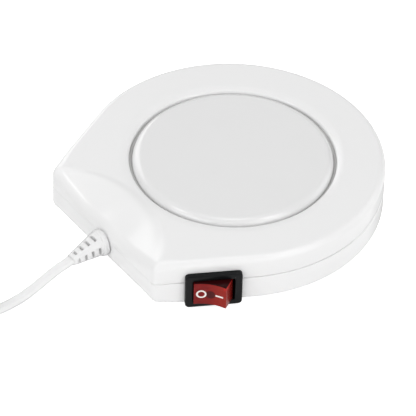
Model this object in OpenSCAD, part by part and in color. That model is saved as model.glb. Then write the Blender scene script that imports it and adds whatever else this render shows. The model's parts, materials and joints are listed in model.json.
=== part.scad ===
// Electric mug warmer with a lit rocker switch and a flat two-core power cord.
// Millimetres, +Z up. The origin is under the middle of the body, in the plane that the feet stand on.
// The cord leaves towards -X and the switch is in the side wall towards -Y.
// The modules work from the plate's axis, and set_out() moves them to the origin.

/* [Body] */
// Radius of the round body
body_r = 57.3; // [56.5:0.1:60]
// Distance from the plate's axis to the flat cord face
face_x = 59.6; // [59:0.1:62]
// Width of the flat cord face, measured between its sharp corners
face_w = 66.5; // [62:0.5:72]
// Height of the housing from its underside to its top
body_h = 19.5; // [19.1:0.1:24]
// Height of the bottom shell, up to the parting line
bottom_h = 10.1; // [9.7:0.1:10.9]
// Thickness of the shells' side walls
wall = 2; // [1.8:0.1:2.3]
// Thickness of the top wall
top_wall = 1.8; // [1.5:0.1:1.9]
// Thickness of the floor
floor_t = 2; // [1.8:0.1:2.4]
// Radius of the two upright corners beside the cord face
corner_r = 3; // [2.7:0.1:4]
// Radius of the rounded upper edge
top_round = 2.6; // [1.5:0.1:2.7]
// Radius of the rounded lower edge
bottom_round = 1.4; // [0.8:0.1:1.8]
// Width of the gap that shows as the parting line
parting_gap = 0.4; // [0.2:0.1:0.6]
// Height of the tongue that joins the two shells
tongue_h = 1.2; // [0.8:0.1:1.6]

/* [Dished shoulder] */
// Distance from the cord face out to the axis of the dish
scoop_out = 20.9; // [19.4:0.5:24.4]
// Distance from the plate's opening out to the dish's crease
crease_out = 2; // [1.8:0.1:4.3]
// Height of the steeper band just inside the crease
scoop_step = 0.7; // [0.3:0.1:0.9]
// Width of that band
scoop_step_w = 0.8; // [0.5:0.1:1.5]
// Fall of the dish for each millimetre outwards
scoop_slope = 0.4; // [0.3:0.01:0.42]

/* [Heating plate] */
// Width of the housing's shoulder, from the plate's edge to the round side
shoulder_w = 19.8; // [19.4:0.1:22]
// Height of the plate above the housing's top face
plate_proud = 0.6; // [0.3:0.1:1.5]
// Thickness of the plate
plate_t = 1.4; // [1.2:0.1:1.5]
// Width of the plate's rounded edge
plate_edge = 2.2; // [1:0.1:2.6]
// Fall of that edge
plate_edge_h = 2.6; // [1:0.1:2.8]
// Thickness of the skirt below the plate's edge
skirt_t = 1.2; // [1:0.1:1.5]
// Width of the flange outside the plate's edge
flange_w = 4; // [3.4:0.1:4.1]
// Thickness of the flange
flange_t = 1; // [0.8:0.1:1.1]
// Width of the groove between the plate and the top shell
groove_w = 1.7; // [1.3:0.1:2]
// Width of the lip that falls towards the groove
lip_w = 3.8; // [2.8:0.1:6]
// How far the lip falls below the top face at the opening
lip_drop = 1; // [0.6:0.1:1.2]
// How far the sealing ring reaches under the lip
gasket_lap = 1.8; // [0.9:0.1:1.9]
// Thickness of the sealing ring's flat part
gasket_t = 0.8; // [0.6:0.1:1]
// Height of the rib that fills the groove round the plate
gasket_rib = 0.4; // [0.3:0.1:1.5]

/* [Retaining ring] */
// Thickness of the retaining ring
ring_t = 1; // [0.8:0.1:1]
// Width of the ring where it presses on the flange
ring_w = 3.4; // [2.5:0.1:4]
// Distance from the flange's edge out to the ring's screws
ear_out = 5; // [4.6:0.1:5.4]
// Radius of the three ears
ear_size = 4; // [3.6:0.1:4.5]
// Direction of the first ear, in degrees from +X
ear_a = -35; // [-38:1:-32]

/* [Heater] */
// How far the heater's mica sheets stop short of the plate's edge
mica_in = 4; // [3.2:0.1:4.4]
// Thickness of each mica sheet
mica_t = 0.4; // [0.3:0.05:0.5]
// Thickness of the resistance ribbon
ribbon_t = 0.25; // [0.2:0.05:0.3]
// Width of the resistance ribbon
ribbon_w = 1.6; // [1.2:0.1:2]
// Thickness of the pressure plate
press_t = 0.8; // [0.6:0.1:1]
// Distance from the mica's edge in to the three studs
stud_in = 4.5; // [3.8:0.1:5.4]
// Radius of the plate's studs
stud_r = 1.5; // [1.2:0.1:1.8]

/* [Switch] */
// Distance along the wall from the front corner to the middle of the switch
switch_along = 21.9; // [20.5:0.1:24]
// Height of the switch's middle above the surface that the feet stand on
switch_z = 8.9; // [8.8:0.1:9]
// Length of the switch's bezel
bezel_l = 21; // [20.8:0.1:23]
// Height of the bezel
bezel_h = 15; // [14.8:0.1:15.6]
// Thickness of the bezel
bezel_t = 2; // [1.5:0.1:2.4]
// Corner radius of the bezel
bezel_r = 1.6; // [1:0.1:2.2]
// Length of the switch's body behind the bezel
body_l = 18.8; // [18.6:0.1:19.4]
// Height of the switch's body
body_w = 12.9; // [12.7:0.1:13.1]
// Depth of the switch's body
body_d = 12.5; // [12.5:0.1:13.5]
// Length of the opening that the rocker fills
well_l = 15.4; // [15.2:0.1:15.8]
// Height of that opening
well_w = 10.2; // [10.1:0.1:10.4]

/* [Rocker] */
// Distance from the rocker's pivot out to the bottom of its hollow face
rocker_valley = 4.85; // [4.4:0.05:5.2]
// Distance from the pivot out to the rocker's two crests
rocker_crest = 6; // [5.6:0.1:6.2]
// Distance from the middle of the rocker to each crest
rocker_half = 6; // [5.5:0.1:6.1]
// Radius of the rocker's round skirts about the pivot
skirt_r = 7.2; // [7:0.05:7.3]
// Width of the rocker
rocker_w = 9.8; // [9.4:0.1:9.9]
// Thickness of the rocker's lens
rocker_skin = 1.1; // [0.9:0.1:1.2]
// Angle of the rocker to each side of its middle position
tilt = 19; // [16:0.5:20]
// Radius of the rocker's pivot pins
pivot_r = 1.2; // [1:0.05:1.4]
// Depth of the pivot behind the bezel's face
pivot_depth = 2.65; // [2.5:0.05:2.8]
// Radius of the plunger in the rocker's post
plunger_r = 1.3; // [1.1:0.05:1.4]
// Distance from the pivot to the plunger's tip
plunger_reach = 7.6; // [7:0.1:7.7]
// Angle of the contact bridge to each side of its middle position
bridge_tilt = 10; // [7:0.5:10]

/* [Cord] */
// Width of the flat cord
cord_w = 4.2; // [4:0.1:4.4]
// Thickness of the flat cord
cord_t = 2.4; // [2.2:0.1:2.5]
// Distance of the strain relief from the middle of the cord face
gland_y = -1; // [-3:0.5:3]
// Height of the strain relief's axis above the surface
gland_z = 9.7; // [9.4:0.1:10]
// Radius of the strain relief's collar
collar_r = 5.2; // [4.9:0.1:5.8]
// Length of the collar
collar_l = 2.5; // [2:0.1:3.4]
// Radius of the neck in the housing wall
neck_r = 4; // [3.6:0.1:4.2]
// Radius of the flange inside the wall
inner_flange_r = 5.2; // [4.8:0.1:5.3]
// Length of the slotted taper outside the collar
taper_l = 12.6; // [12.2:0.1:13.2]
// Droop of the slotted taper, in degrees
droop = 4; // [3:1:6]
// Radius of the boss round the strain relief
boss_r = 6.4; // [6.2:0.1:6.8]
// Number of windings side by side in the coil
coil_cols = 4; // [3:1:5]
// Number of layers in the coil
coil_layers = 2; // [1:1:3]
// Radius of the coil at the middle of its windings
coil_mid_r = 25; // [24:0.5:26]

/* [Plug] */
// Width of the plug's body
plug_w = 26; // [25:0.5:28]
// Length of the plug's body
plug_l = 34; // [32:0.5:38]
// Thickness of the plug's body
plug_t = 13.6; // [12.6:0.1:14]
// Radius of the plug's pins
pin_r = 2; // [1.9:0.05:2.4]
// Length of the plug's pins
pin_l = 19; // [18:0.5:20]
// Distance between the plug's pins
pin_pitch = 18.8; // [18:0.1:19.4]

/* [Feet and fasteners] */
// Height of the feet below the housing
foot_h = 1.9; // [1.6:0.1:2.2]
// Radius of the feet
foot_r = 5; // [4:0.1:5.2]
// Depth of the recess that holds each foot
foot_seat = 0.8; // [0.5:0.1:1]
// Radius of the housing screws
screw_r = 1.5; // [1.3:0.1:1.6]
// Radius of the housing screws' heads
screw_head_r = 2.8; // [2.5:0.1:2.9]
// Length of the housing screws below their heads
screw_l = 11.5; // [10:0.5:12]
// Radius of the posts that the housing screws go through
post_r = 4.2; // [4:0.1:4.4]

/* [Hidden] */
$fn = 96;

fit = 0.05;      // running clearance of pins, screws and terminals, on the radius
seat_gap = 0.1;  // clearance between pieces that drop into each other
eps = 0.01;      // how far pieces that are fused run into each other
past = 1;        // how far a cutting shape runs past the face that it opens

// The plate's axis, in front of the middle of the body's length
plate_x = (face_x - body_r) / 2;

// Heights of the housing
top_z = foot_h + body_h;
part_z = foot_h + bottom_h;
floor_z = foot_h + floor_t;
ceiling_z = top_z - top_wall;
edge_n = 72;     // facets of the rounded edges
corner_n = 24;   // facets of their small corners
edge_steps = 4;
edge_in = 0.02;  // how far the rounded edges stay inside the wall that they grow from
edge_root = 0.5; // and how far they run into it

// Direction of the side wall's outward normal, on the +Y side
wall_a = atan2(face_w / 2, -face_x) - acos(body_r / norm([face_x, face_w / 2]));

// Housing screws: two beside the cord face, two on the round side
corner_post_in = [6.1, 4.75];
corner_post = [-(face_x - corner_post_in[0]), face_w / 2 - corner_post_in[1]];
round_post_a = 55;
round_post_in = 8.3;
round_post = (body_r - round_post_in) * [cos(round_post_a), sin(round_post_a)];
posts = [for (s = [1, -1], p = [corner_post, round_post]) [p[0], s * p[1]]];
screw_head_h = 2;
screw_sink = 1;
screw_seat_z = foot_h + screw_sink + screw_head_h;
post_wall = 0.8;
inner_flange_t = 2.4;
clamp_post_r = 3;
clamp_screw_r = 1.2;
bed_w = 6.8;

// Feet
left_foot = [-47, 20];
right_foot = [34, 30];

// Radii that follow from the plate's
plate_r = body_r - shoulder_w;
flange_r = plate_r + flange_w;
opening_r = plate_r + groove_w;
lip_r = opening_r + lip_w;
gasket_r = opening_r + gasket_lap;
ear_r = flange_r + ear_out;
mica_r = plate_r - mica_in;
stud_ring_r = mica_r - stud_in;

// The dish: its axis and the radius of its crease on the top face
scoop_x = face_x + scoop_out;
scoop_r = scoop_x - opening_r - crease_out;

// Heater stack below the plate
plate_z = top_z + plate_proud;
plate_under = plate_z - plate_t;
lip_z = top_z - lip_drop;
flange_z = ceiling_z - gasket_t;
skirt_in = plate_r - skirt_t;
card_t = 0.5;
mica_upper_z = plate_under - mica_t;
card_z = mica_upper_z - card_t;
ribbon_z = card_z - ribbon_t;
mica_lower_z = ribbon_z - mica_t;
press_z = mica_lower_z - press_t;
stud_a = 75;
studs = [for (k = [0 : 2]) stud_ring_r * [cos(stud_a + 120 * k), sin(stud_a + 120 * k)]];
nut_h = 2.4;
nut_flats = 5.5;
ribbon_runs = 9;
ribbon_pitch = 5;
ribbon_field = mica_r - 6.5;

// Retaining ring and its screws
ring_z = flange_z - flange_t - ring_t;
ring_out = flange_r + 0.5;
ears = [for (k = [0 : 2]) ear_r * [cos(ear_a + 120 * k), sin(ear_a + 120 * k)]];
ring_screw_r = 1.3;
ring_screw_l = 3.2;
ring_head_r = 2.4;
ring_head_h = 1.5;

// Thermostat and thermal fuse under the pressure plate
stat_at = [12, 8];
stat_r = 8;
stat_cap_h = 3.2;
stat_base_h = 6.6;
stat_skin = 0.4;
stat_disc_z = 1.1;
stat_ear = 12;
stat_cap_z = press_z - stat_cap_h;
stat_terminal_z = stat_cap_z - stat_base_h + 1.4;
stat_blade = [9.5, 4, 0.8];
stat_blade_in = 4.5;
stat_wire_x = stat_blade_in + stat_blade[0];
flare_r = 2.6;
flare_h = 1.5;
strap_t = 0.8;
fuse_at = [-12, 12];
fuse_r = 2;
sleeve_t = 0.5;
fuse_l = 9;
fuse_lead = 4;
fuse_z = press_z - fuse_r - sleeve_t - seat_gap;

// Switch, in its own frame: x along the wall, y inwards, z up
well_back = body_d - 1.2;
pivot_y = pivot_depth - bezel_t;
cut_gap = 0.2;
bridge_y = pivot_y + plunger_reach + 0.75;
terminal_in = 2.4;
terminal_x = body_l / 2 - terminal_in;
bridge_half = terminal_x;
bridge_t = 0.45;
bridge_w = 3.2;
bridge_bend = 12;
bridge_play = 0.02;
ridge_r = 0.4;
contact_y = bridge_y - 0.1;
pin_pocket = (body_w - well_w) / 2 - 0.35;
skirt_a = 24;
post_out = 2.2;
post_end = 4;
bore_start = -3.2;
plunger_back = 0.9;
blade_t = 0.8;
blade_w = 4.8;
blade_out = 8;
receptacle_gap = 0.5;
receptacle_l = 8.4;
barrel_l = 4.5;
barrel_r = 1.6;
wire_r = 0.9;
wire_gap = 0.4;  // how far a wire's cut end stays from what it is joined to
wire_start_y = body_d + receptacle_gap + receptacle_l + barrel_l + wire_gap;
splice_at = [-24, 2, 8];

// Cord inside the housing
clamp_x = -49;
clamp_screw_y = 6.5;
tail_end_x = -43.5;
clamp_l = 6;
clamp_h = 2;
tail_start_x = -face_x + wall + 2.2;

// The slotted taper also leans towards the switch
sway = 5;

// Cord outside. The points run from the strain relief's tip to the coil, and from the coil to the plug.
cord_low = cord_t / 2;
coil_at = [-124, 27];
coil_pitch_r = cord_t + 0.2;
coil_pitch_z = cord_w + 0.2;
coil_in = coil_mid_r - coil_cols * coil_pitch_r / 2;
coil_out = coil_mid_r + coil_cols * coil_pitch_r / 2;
coil_h = coil_layers * coil_pitch_z;
tip_at = [
  -face_x - collar_l - taper_l * cos(droop) * cos(sway), gland_y - taper_l * cos(droop) * sin(sway),
  gland_z - taper_l * sin(droop)
];
// Each point is x, y, z and the turn of the cord's flat side about its own run
lead_points = [
  [tip_at[0] - 0.3, tip_at[1], tip_at[2], 0], [-77.4, -2.35, 8.4, 0], [-80, -2.2, 7.7, 0], [-84, -1.6, 5.8, 0],
  [-88.9, -1.0, 3.6, 0], [-92.6, -0.9, 2.4, 0], [-96.3, -1.0, 1.7, 0], [-101, -1.5, 1.3, 0],
  [-105.6, -1.95, 1.3, 0], [-111, -2.1, 1.5, 25], [-118, -2.0, 2.0, 60], [-124, -1.9, 2.2, 90]
];
end_points = [
  [-151.2, 17.2, 6.6, 90], [-154.2, 25.5, 6.8, 70], [-156.1, 33, 6.8, 35], [-157, 40, 6.8, 8],
  [-157, 45.9, 6.8, 0]
];
plug_at = [-157, 46, 6.8];
plug_relief_l = 12;
plug_relief_r = [3.2, 4.6];

// ---------- curves and sweeps ----------

// A point at t from 0 to 1 on the smooth curve through four points, between the middle two
function blend(p, t) = 0.5 * (
  2 * p[1] + (p[2] - p[0]) * t
  + (2 * p[0] - 5 * p[1] + 4 * p[2] - p[3]) * t * t
  + (3 * p[1] - p[0] - 3 * p[2] + p[3]) * t * t * t
);
function at(pts, k) = pts[max(0, min(len(pts) - 1, k))];
// The points of a route, with n steps between each two of them
function smooth(pts, n) = concat(
  [for (k = [0 : len(pts) - 2], j = [0 : n - 1])
    blend([at(pts, k - 1), pts[k], pts[k + 1], at(pts, k + 2)], j / n)],
  [pts[len(pts) - 1]]
);
function place(p) = [p[0], p[1], p[2]];
function unit(v) = v / norm(v);
function along(pts, k) = unit(place(at(pts, k + 1)) - place(at(pts, k - 1)));
// One ring of a tube, half_w to the side and half_t upwards.
// The point's fourth value turns it about the run.
function ring(pts, k, half_w, half_t, sides) =
  let (
    run = along(pts, k),
    side = unit(cross([0, 0, 1], run)),
    up = cross(run, side),
    turn = len(pts[k]) > 3 ? pts[k][3] : 0,
    wide = side * cos(turn) + up * sin(turn),
    thin = up * cos(turn) - side * sin(turn)
  )
  [for (j = [0 : sides - 1])
    let (a = 360 * (j + 0.5) / sides)
    place(pts[k]) + wide * half_w * cos(a) + thin * half_t * sin(a)];
// A tube with an oval section along a route
module tube(pts, half_w, half_t, sides = 8) {
  n = len(pts);
  points = [for (k = [0 : n - 1]) each ring(pts, k, half_w, half_t, sides)];
  walls = [for (k = [0 : n - 2], j = [0 : sides - 1])
    let (a = k * sides + j, b = k * sides + (j + 1) % sides)
    each [[a, b + sides, b], [a, a + sides, b + sides]]];
  first = [for (j = [0 : sides - 1]) j];
  last = [for (j = [0 : sides - 1]) n * sides - 1 - j];
  polyhedron(points, concat(walls, [first, last]), convexity = 8);
}

// ---------- shared shapes ----------

module set_out() { translate([plate_x, 0, 0]) children(); }

// The body's outline, moved inwards by inset
module outline(inset = 0) {
  from_corner = max(inset, corner_r);
  r = corner_r - inset;
  x = -face_x + from_corner;
  y = (body_r - from_corner - cos(wall_a) * x) / sin(wall_a);
  round_end = (body_r - inset) * [cos(wall_a), sin(wall_a)];
  corner = r > 0 ? [[x, y] + r * [cos(wall_a), sin(wall_a)], [x - r, y]] : [[x, y]];
  upper = concat([round_end], corner);
  lower = [for (k = [len(upper) - 1 : -1 : 0]) [upper[k][0], -upper[k][1]]];
  circle(r = body_r - inset);
  polygon(concat(upper, lower));
  if (r > 0) for (s = [1, -1]) translate([x, s * y]) circle(r = r, $fn = corner_n);
}

// A thin slice of the body for the rounded edges
module slice(z, inset) {
  translate([0, 0, z]) linear_extrude(eps) outline(inset, $fn = edge_n);
}

// The body's rounded edge: up is 1 for the top and -1 for the bottom
module rounded_edge(z, r, up) {
  hull() {
    slice(z - up * (r + edge_root), 2 * edge_in);
    for (k = [0 : edge_steps]) {
      a = 90 * k / edge_steps;
      slice(z - (up > 0 ? eps : 0) - up * r * (1 - sin(a)), edge_in + r * (1 - cos(a)));
    }
  }
}

// Moves a piece of the switch from its own frame into the wall
module on_wall() {
  translate([-face_x, -face_w / 2, switch_z])
    rotate([0, 0, 90 - wall_a])
      translate([switch_along, 0, 0]) children();
}

// Moves a piece of the rocker to its pivot, tilted as it rests
module on_pivot() {
  on_wall() translate([0, pivot_y, 0]) rotate([0, 0, -tilt]) children();
}

module on_gland() {
  translate([-face_x, gland_y, gland_z]) rotate([0, -90, 0]) children();
}

// A screw with its head at z = 0 and up, and its shank downwards
module screw(r, l, head_r, head_h) {
  slot_w = head_r * 0.28;
  slot_l = head_r * 1.2;
  difference() {
    union() {
      cylinder(r = head_r, h = head_h);
      translate([0, 0, -l]) cylinder(r = r, h = l + eps);
    }
    for (a = [0, 90]) rotate([0, 0, a])
      translate([-slot_l / 2, -slot_w / 2, head_h * 0.45]) cube([slot_l, slot_w, head_h]);
  }
}

// The space above the dished shoulder, moved down by drop
module scoop(drop = 0) {
  foot = scoop_step + scoop_slope * (scoop_r - scoop_step_w);
  rise = 4;
  translate([-scoop_x, 0, top_z - drop])
    rotate_extrude() polygon([
      [0, -foot], [scoop_r - scoop_step_w, -scoop_step], [scoop_r, 0],
      [scoop_r + rise * scoop_step_w / scoop_step, rise], [0, rise]
    ]);
}

// The space above the soft lip round the opening, and the opening itself
module lip_space() {
  steps = 3;
  w = lip_r - opening_r;
  curve = [for (k = [0 : steps]) [opening_r + w * k / steps, -lip_drop * pow(1 - k / steps, 2)]];
  low = part_z - top_z;
  last = curve[steps] + (curve[steps] - curve[steps - 1]);
  translate([0, 0, top_z])
    rotate_extrude() polygon(concat([[0, low], [opening_r, low]], curve, [last, [0, last[1]]]));
}

module switch_cutout() {
  on_wall() translate([-body_l / 2 - cut_gap, -past, -body_w / 2 - cut_gap / 2])
    cube([body_l + 2 * cut_gap, body_d + past + cut_gap, body_w + cut_gap]);
}

// The strain relief's neck and inner flange, as the room that they need
module gland_room() {
  on_gland() {
    translate([0, 0, -wall - past]) cylinder(r = neck_r + fit, h = wall + 2 * past);
    translate([0, 0, -wall - inner_flange_t])
      cylinder(r = inner_flange_r + seat_gap, h = inner_flange_t + eps);
  }
}

// ---------- housing ----------

module top_housing() {
  color("white")
  difference() {
    union() {
      difference() {
        union() {
          translate([0, 0, part_z + parting_gap / 2])
            linear_extrude(top_z - top_round - part_z - parting_gap / 2) outline();
          rounded_edge(top_z, top_round, 1);
        }
        scoop();
      }
      intersection() {
        on_gland() translate([0, 0, -9]) cylinder(r = boss_r, h = 9);
        translate([-face_x, -face_w / 2, part_z + parting_gap / 2]) cube([12, face_w, body_h]);
      }
    }
    difference() {
      translate([0, 0, part_z - past]) linear_extrude(ceiling_z - part_z + past) outline(wall);
      scoop(top_wall + 0.2);
      for (p = posts) translate([p[0], p[1], part_z]) cylinder(r = post_r - post_wall, h = body_h);
      for (p = ears) translate([p[0], p[1], ring_z + ring_t])
        cylinder(r = ear_size - post_wall, h = body_h);
    }
    translate([0, 0, part_z - past]) linear_extrude(past + tongue_h + seat_gap) outline(wall / 2);
    for (p = posts) translate([p[0], p[1], part_z - past]) {
      cylinder(r = screw_r + fit, h = past + screw_l + screw_seat_z - part_z + seat_gap);
    }
    for (p = ears) translate([p[0], p[1], ring_z])
      cylinder(r = ring_screw_r + fit, h = ring_screw_l + seat_gap);
    lip_space();
    switch_cutout();
    gland_room();
  }
}

module bottom_housing() {
  vent_l = 16;
  vent_w = 1.8;
  vent_pitch = 5;
  panel = [34, 18, 0.4];
  panel_x = 12;
  color("white")
  difference() {
    union() {
      difference() {
        union() {
          translate([0, 0, foot_h + bottom_round])
            linear_extrude(bottom_h - parting_gap / 2 - bottom_round) outline();
          rounded_edge(foot_h, bottom_round, -1);
        }
        translate([0, 0, floor_z]) linear_extrude(bottom_h) outline(wall);
      }
      translate([0, 0, floor_z]) linear_extrude(part_z + tongue_h - floor_z)
        difference() {
          outline(wall / 2 + seat_gap);
          outline(wall);
        }
      for (p = posts) translate([p[0], p[1], foot_h + eps]) cylinder(r = post_r, h = bottom_h - eps);
      // the bed that the cord is clamped on, with a post for each clamp screw
      translate([clamp_x - clamp_l / 2, gland_y - bed_w / 2, foot_h + eps])
        cube([clamp_l, bed_w, gland_z - cord_t / 2 - foot_h - eps]);
      for (s = [1, -1]) translate([clamp_x, gland_y + s * clamp_screw_y, foot_h + eps])
        cylinder(r = clamp_post_r, h = gland_z + cord_t / 2 - foot_h - eps);
    }
    for (p = posts) translate([p[0], p[1], foot_h]) {
      translate([0, 0, -past])
        cylinder(r = screw_head_r + 3 * seat_gap, h = past + screw_seat_z - foot_h);
      cylinder(r = screw_r + fit, h = bottom_h + past);
    }
    for (s = [1, -1]) {
      translate([clamp_x, gland_y + s * clamp_screw_y, floor_z])
        cylinder(r = clamp_screw_r + fit, h = bottom_h);
      translate([left_foot[0], s * left_foot[1], foot_h - past])
        cylinder(r = foot_r + fit, h = past + foot_seat);
      translate([right_foot[0], s * right_foot[1], foot_h - past])
        cylinder(r = foot_r + fit, h = past + foot_seat);
    }
    for (k = [-3 : 3]) translate([-vent_l / 2, vent_pitch * k - vent_w / 2, foot_h - past])
      cube([vent_l, vent_w, floor_t + 2 * past]);
    translate([panel_x, -panel[1] / 2, foot_h - past]) cube([panel[0], panel[1], past + panel[2]]);
    switch_cutout();
    gland_room();
  }
}

module foot(p, side) {
  color("dimgray") translate([p[0], side * p[1], 0]) {
    cylinder(r = foot_r, h = foot_h + foot_seat);
  }
}
module foot_front_left() { foot(left_foot, -1); }
module foot_front_right() { foot(right_foot, -1); }
module foot_back_left() { foot(left_foot, 1); }
module foot_back_right() { foot(right_foot, 1); }

module housing_screws() {
  color("silver") for (p = posts) translate([p[0], p[1], screw_seat_z])
    rotate([180, 0, 0]) screw(screw_r, screw_l, screw_head_r, screw_head_h);
}

// ---------- plate and heater ----------

module heating_plate() {
  stud_z = press_z - nut_h - 1;
  color("whitesmoke") {
    rotate_extrude() polygon(concat(
      [
        [0, plate_under], [skirt_in, plate_under], [skirt_in, flange_z - flange_t],
        [flange_r, flange_z - flange_t], [flange_r, flange_z], [plate_r, flange_z]
      ],
      [for (q = [0 : 15 : 90])
        [plate_r - plate_edge * (1 - cos(q)), plate_z - plate_edge_h * (1 - sin(q))]],
      [[0, plate_z]]
    ));
    for (p = studs) translate([p[0], p[1], stud_z])
      cylinder(r = stud_r, h = plate_under - stud_z + eps);
  }
}

module plate_seal() {
  rib_out = gasket_rib > gasket_t ? opening_r - 0.15 : opening_r + 0.15;
  color("gainsboro") rotate_extrude() {
    translate([rib_out, flange_z]) square([gasket_r - rib_out, gasket_t]);
    translate([plate_r + seat_gap, flange_z]) square([rib_out + eps - plate_r - seat_gap, gasket_rib]);
  }
}

module retaining_ring() {
  color("silver") translate([0, 0, ring_z]) difference() {
    union() {
      cylinder(r = ring_out, h = ring_t);
      for (k = [0 : 2]) rotate([0, 0, ear_a + 120 * k]) {
        translate([ear_r, 0, 0]) cylinder(r = ear_size, h = ring_t);
        translate([ring_out - 4, -ear_size, 0]) cube([ear_r - ring_out + 4, 2 * ear_size, ring_t]);
      }
    }
    translate([0, 0, -past]) cylinder(r = ring_out - ring_w, h = ring_t + 2 * past);
    for (p = ears) translate([p[0], p[1], -past])
      cylinder(r = ring_screw_r + fit, h = ring_t + 2 * past);
  }
}

module ring_screws() {
  color("silver") for (p = ears) translate([p[0], p[1], ring_z])
    rotate([180, 0, 0]) screw(ring_screw_r, ring_screw_l, ring_head_r, ring_head_h);
}

// A disc of the heater stack with holes for the studs
module stack_disc(z, t, r) {
  translate([0, 0, z]) difference() {
    cylinder(r = r, h = t);
    for (p = studs) translate([p[0], p[1], -past])
      cylinder(r = stud_r + 2 * seat_gap, h = t + 2 * past);
  }
}
module mica_upper() { color("tan") stack_disc(mica_upper_z, mica_t, mica_r); }
module heater_card() { color("burlywood") stack_disc(card_z, card_t, mica_r - 0.5); }
module mica_lower() { color("tan") stack_disc(mica_lower_z, mica_t, mica_r); }

// One ribbon in parallel runs, joined at alternate ends
module heater_ribbon() {
  half = (ribbon_runs - 1) / 2;
  longest = ribbon_field * 0.72;
  margin = 4;
  function run_half(k) =
    min(longest, sqrt(ribbon_field * ribbon_field - pow(ribbon_pitch * k, 2)) - margin);
  color("slategray") translate([0, 0, ribbon_z]) linear_extrude(ribbon_t) {
    for (k = [-half : half])
      translate([-run_half(k), ribbon_pitch * k - ribbon_w / 2]) square([2 * run_half(k), ribbon_w]);
    for (k = [-half : half - 1]) {
      side = (k + half) % 2 == 0 ? 1 : -1;
      reach = min(run_half(k), run_half(k + 1));
      translate([side * reach - (side > 0 ? ribbon_w : 0), ribbon_pitch * k - ribbon_w / 2])
        square([ribbon_w, ribbon_pitch + ribbon_w]);
    }
  }
}

module pressure_plate() {
  color("silver") {
    difference() {
      union() {
        stack_disc(press_z, press_t, mica_r);
        for (s = [1, -1]) translate([stat_at[0], stat_at[1] + s * stat_ear, press_z - flare_h])
          cylinder(r = flare_r, h = flare_h + eps);
      }
      for (s = [1, -1]) translate([stat_at[0], stat_at[1] + s * stat_ear, press_z - flare_h - past])
        cylinder(r = ring_screw_r + fit, h = flare_h + press_t + 2 * past);
    }
  }
}

module heater_nuts() {
  color("silver") for (p = studs) translate([p[0], p[1], press_z - nut_h - fit]) difference() {
    cylinder(r = nut_flats / sqrt(3), h = nut_h, $fn = 6);
    translate([0, 0, -past]) cylinder(r = stud_r + fit, h = nut_h + 2 * past);
  }
}

module on_stat(z) { translate([stat_at[0], stat_at[1], z]) children(); }

module thermostat_cap() {
  color("silver") on_stat(stat_cap_z) difference() {
    cylinder(r = stat_r, h = stat_cap_h);
    translate([0, 0, -past]) cylinder(r = stat_r - stat_skin, h = past + stat_cap_h - stat_skin);
  }
}
module thermostat_disc() {
  color("goldenrod") on_stat(press_z - stat_disc_z) cylinder(r = 6, h = 0.4);
}
module thermostat_base() {
  color("saddlebrown") difference() {
    union() {
      on_stat(stat_cap_z - stat_base_h) cylinder(r = stat_r - 0.2, h = stat_base_h);
      on_stat(stat_cap_z - eps)
        cylinder(r = stat_r - stat_skin - fit, h = stat_cap_h - stat_disc_z + eps);
    }
    for (s = [1, -1]) on_stat(stat_terminal_z - fit)
      translate([s > 0 ? stat_blade_in - fit : -stat_r - fit, -stat_blade[1] / 2 - fit, 0])
        cube([stat_r - stat_blade_in + 2 * fit, stat_blade[1] + 2 * fit, stat_blade[2] + 2 * fit]);
  }
}
module thermostat_terminals() {
  color("gold") for (s = [1, -1]) on_stat(stat_terminal_z)
    translate([s > 0 ? stat_blade_in : -stat_blade_in - stat_blade[0], -stat_blade[1] / 2, 0])
      cube(stat_blade);
}
// Collar round the cap with an ear on each side, under the pressure plate's flared threads
module thermostat_bracket() {
  z = press_z - flare_h - strap_t;
  color("silver") on_stat(z) difference() {
    union() {
      cylinder(r = stat_r + 1.6, h = strap_t);
      for (s = [1, -1]) translate([0, s * stat_ear, 0]) cylinder(r = 3, h = strap_t);
      translate([-3, -stat_ear, 0]) cube([6, 2 * stat_ear, strap_t]);
    }
    translate([0, 0, -past]) cylinder(r = stat_r + fit, h = strap_t + 2 * past);
    for (s = [1, -1]) translate([0, s * stat_ear, -past])
      cylinder(r = ring_screw_r + fit, h = strap_t + 2 * past);
  }
}
module thermostat_screws() {
  color("silver") for (s = [1, -1])
    translate([stat_at[0], stat_at[1] + s * stat_ear, press_z - flare_h - strap_t])
      rotate([180, 0, 0])
        screw(ring_screw_r, flare_h + strap_t + press_t - 2 * seat_gap, ring_head_r, ring_head_h);
}

module on_fuse() { translate([fuse_at[0], fuse_at[1], fuse_z]) rotate([0, 90, 0]) children(); }
module thermal_fuse() {
  color("silver") on_fuse() {
    translate([0, 0, -fuse_l / 2]) cylinder(r = fuse_r, h = fuse_l);
    translate([0, 0, -fuse_l / 2 - fuse_lead]) cylinder(r = 0.5, h = fuse_l + 2 * fuse_lead);
  }
}
module fuse_sleeve() {
  l = fuse_l + 3;
  color("ivory") on_fuse() difference() {
    translate([0, 0, -l / 2]) cylinder(r = fuse_r + sleeve_t, h = l);
    translate([0, 0, -l / 2 - past]) cylinder(r = fuse_r + fit, h = l + 2 * past);
  }
}
module fuse_clip() {
  r_in = fuse_r + sleeve_t + fit;
  t = 0.5;
  w = 5;
  lug = 3;
  up = press_z - fuse_z;
  color("silver") on_fuse() translate([0, 0, -w / 2]) linear_extrude(w) difference() {
    union() {
      circle(r = r_in + t);
      translate([-up, -r_in - t - lug]) square([t, 2 * (r_in + t + lug)]);
      translate([-up, -r_in - t]) square([up, 2 * (r_in + t)]);
    }
    circle(r = r_in);
    translate([-up - past, -r_in]) square([up + past, 2 * r_in]);
    translate([-up - 2 * past, -2 * r_in - lug]) square([2 * past, 4 * r_in + 2 * lug]);
  }
}

// ---------- switch ----------

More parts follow.
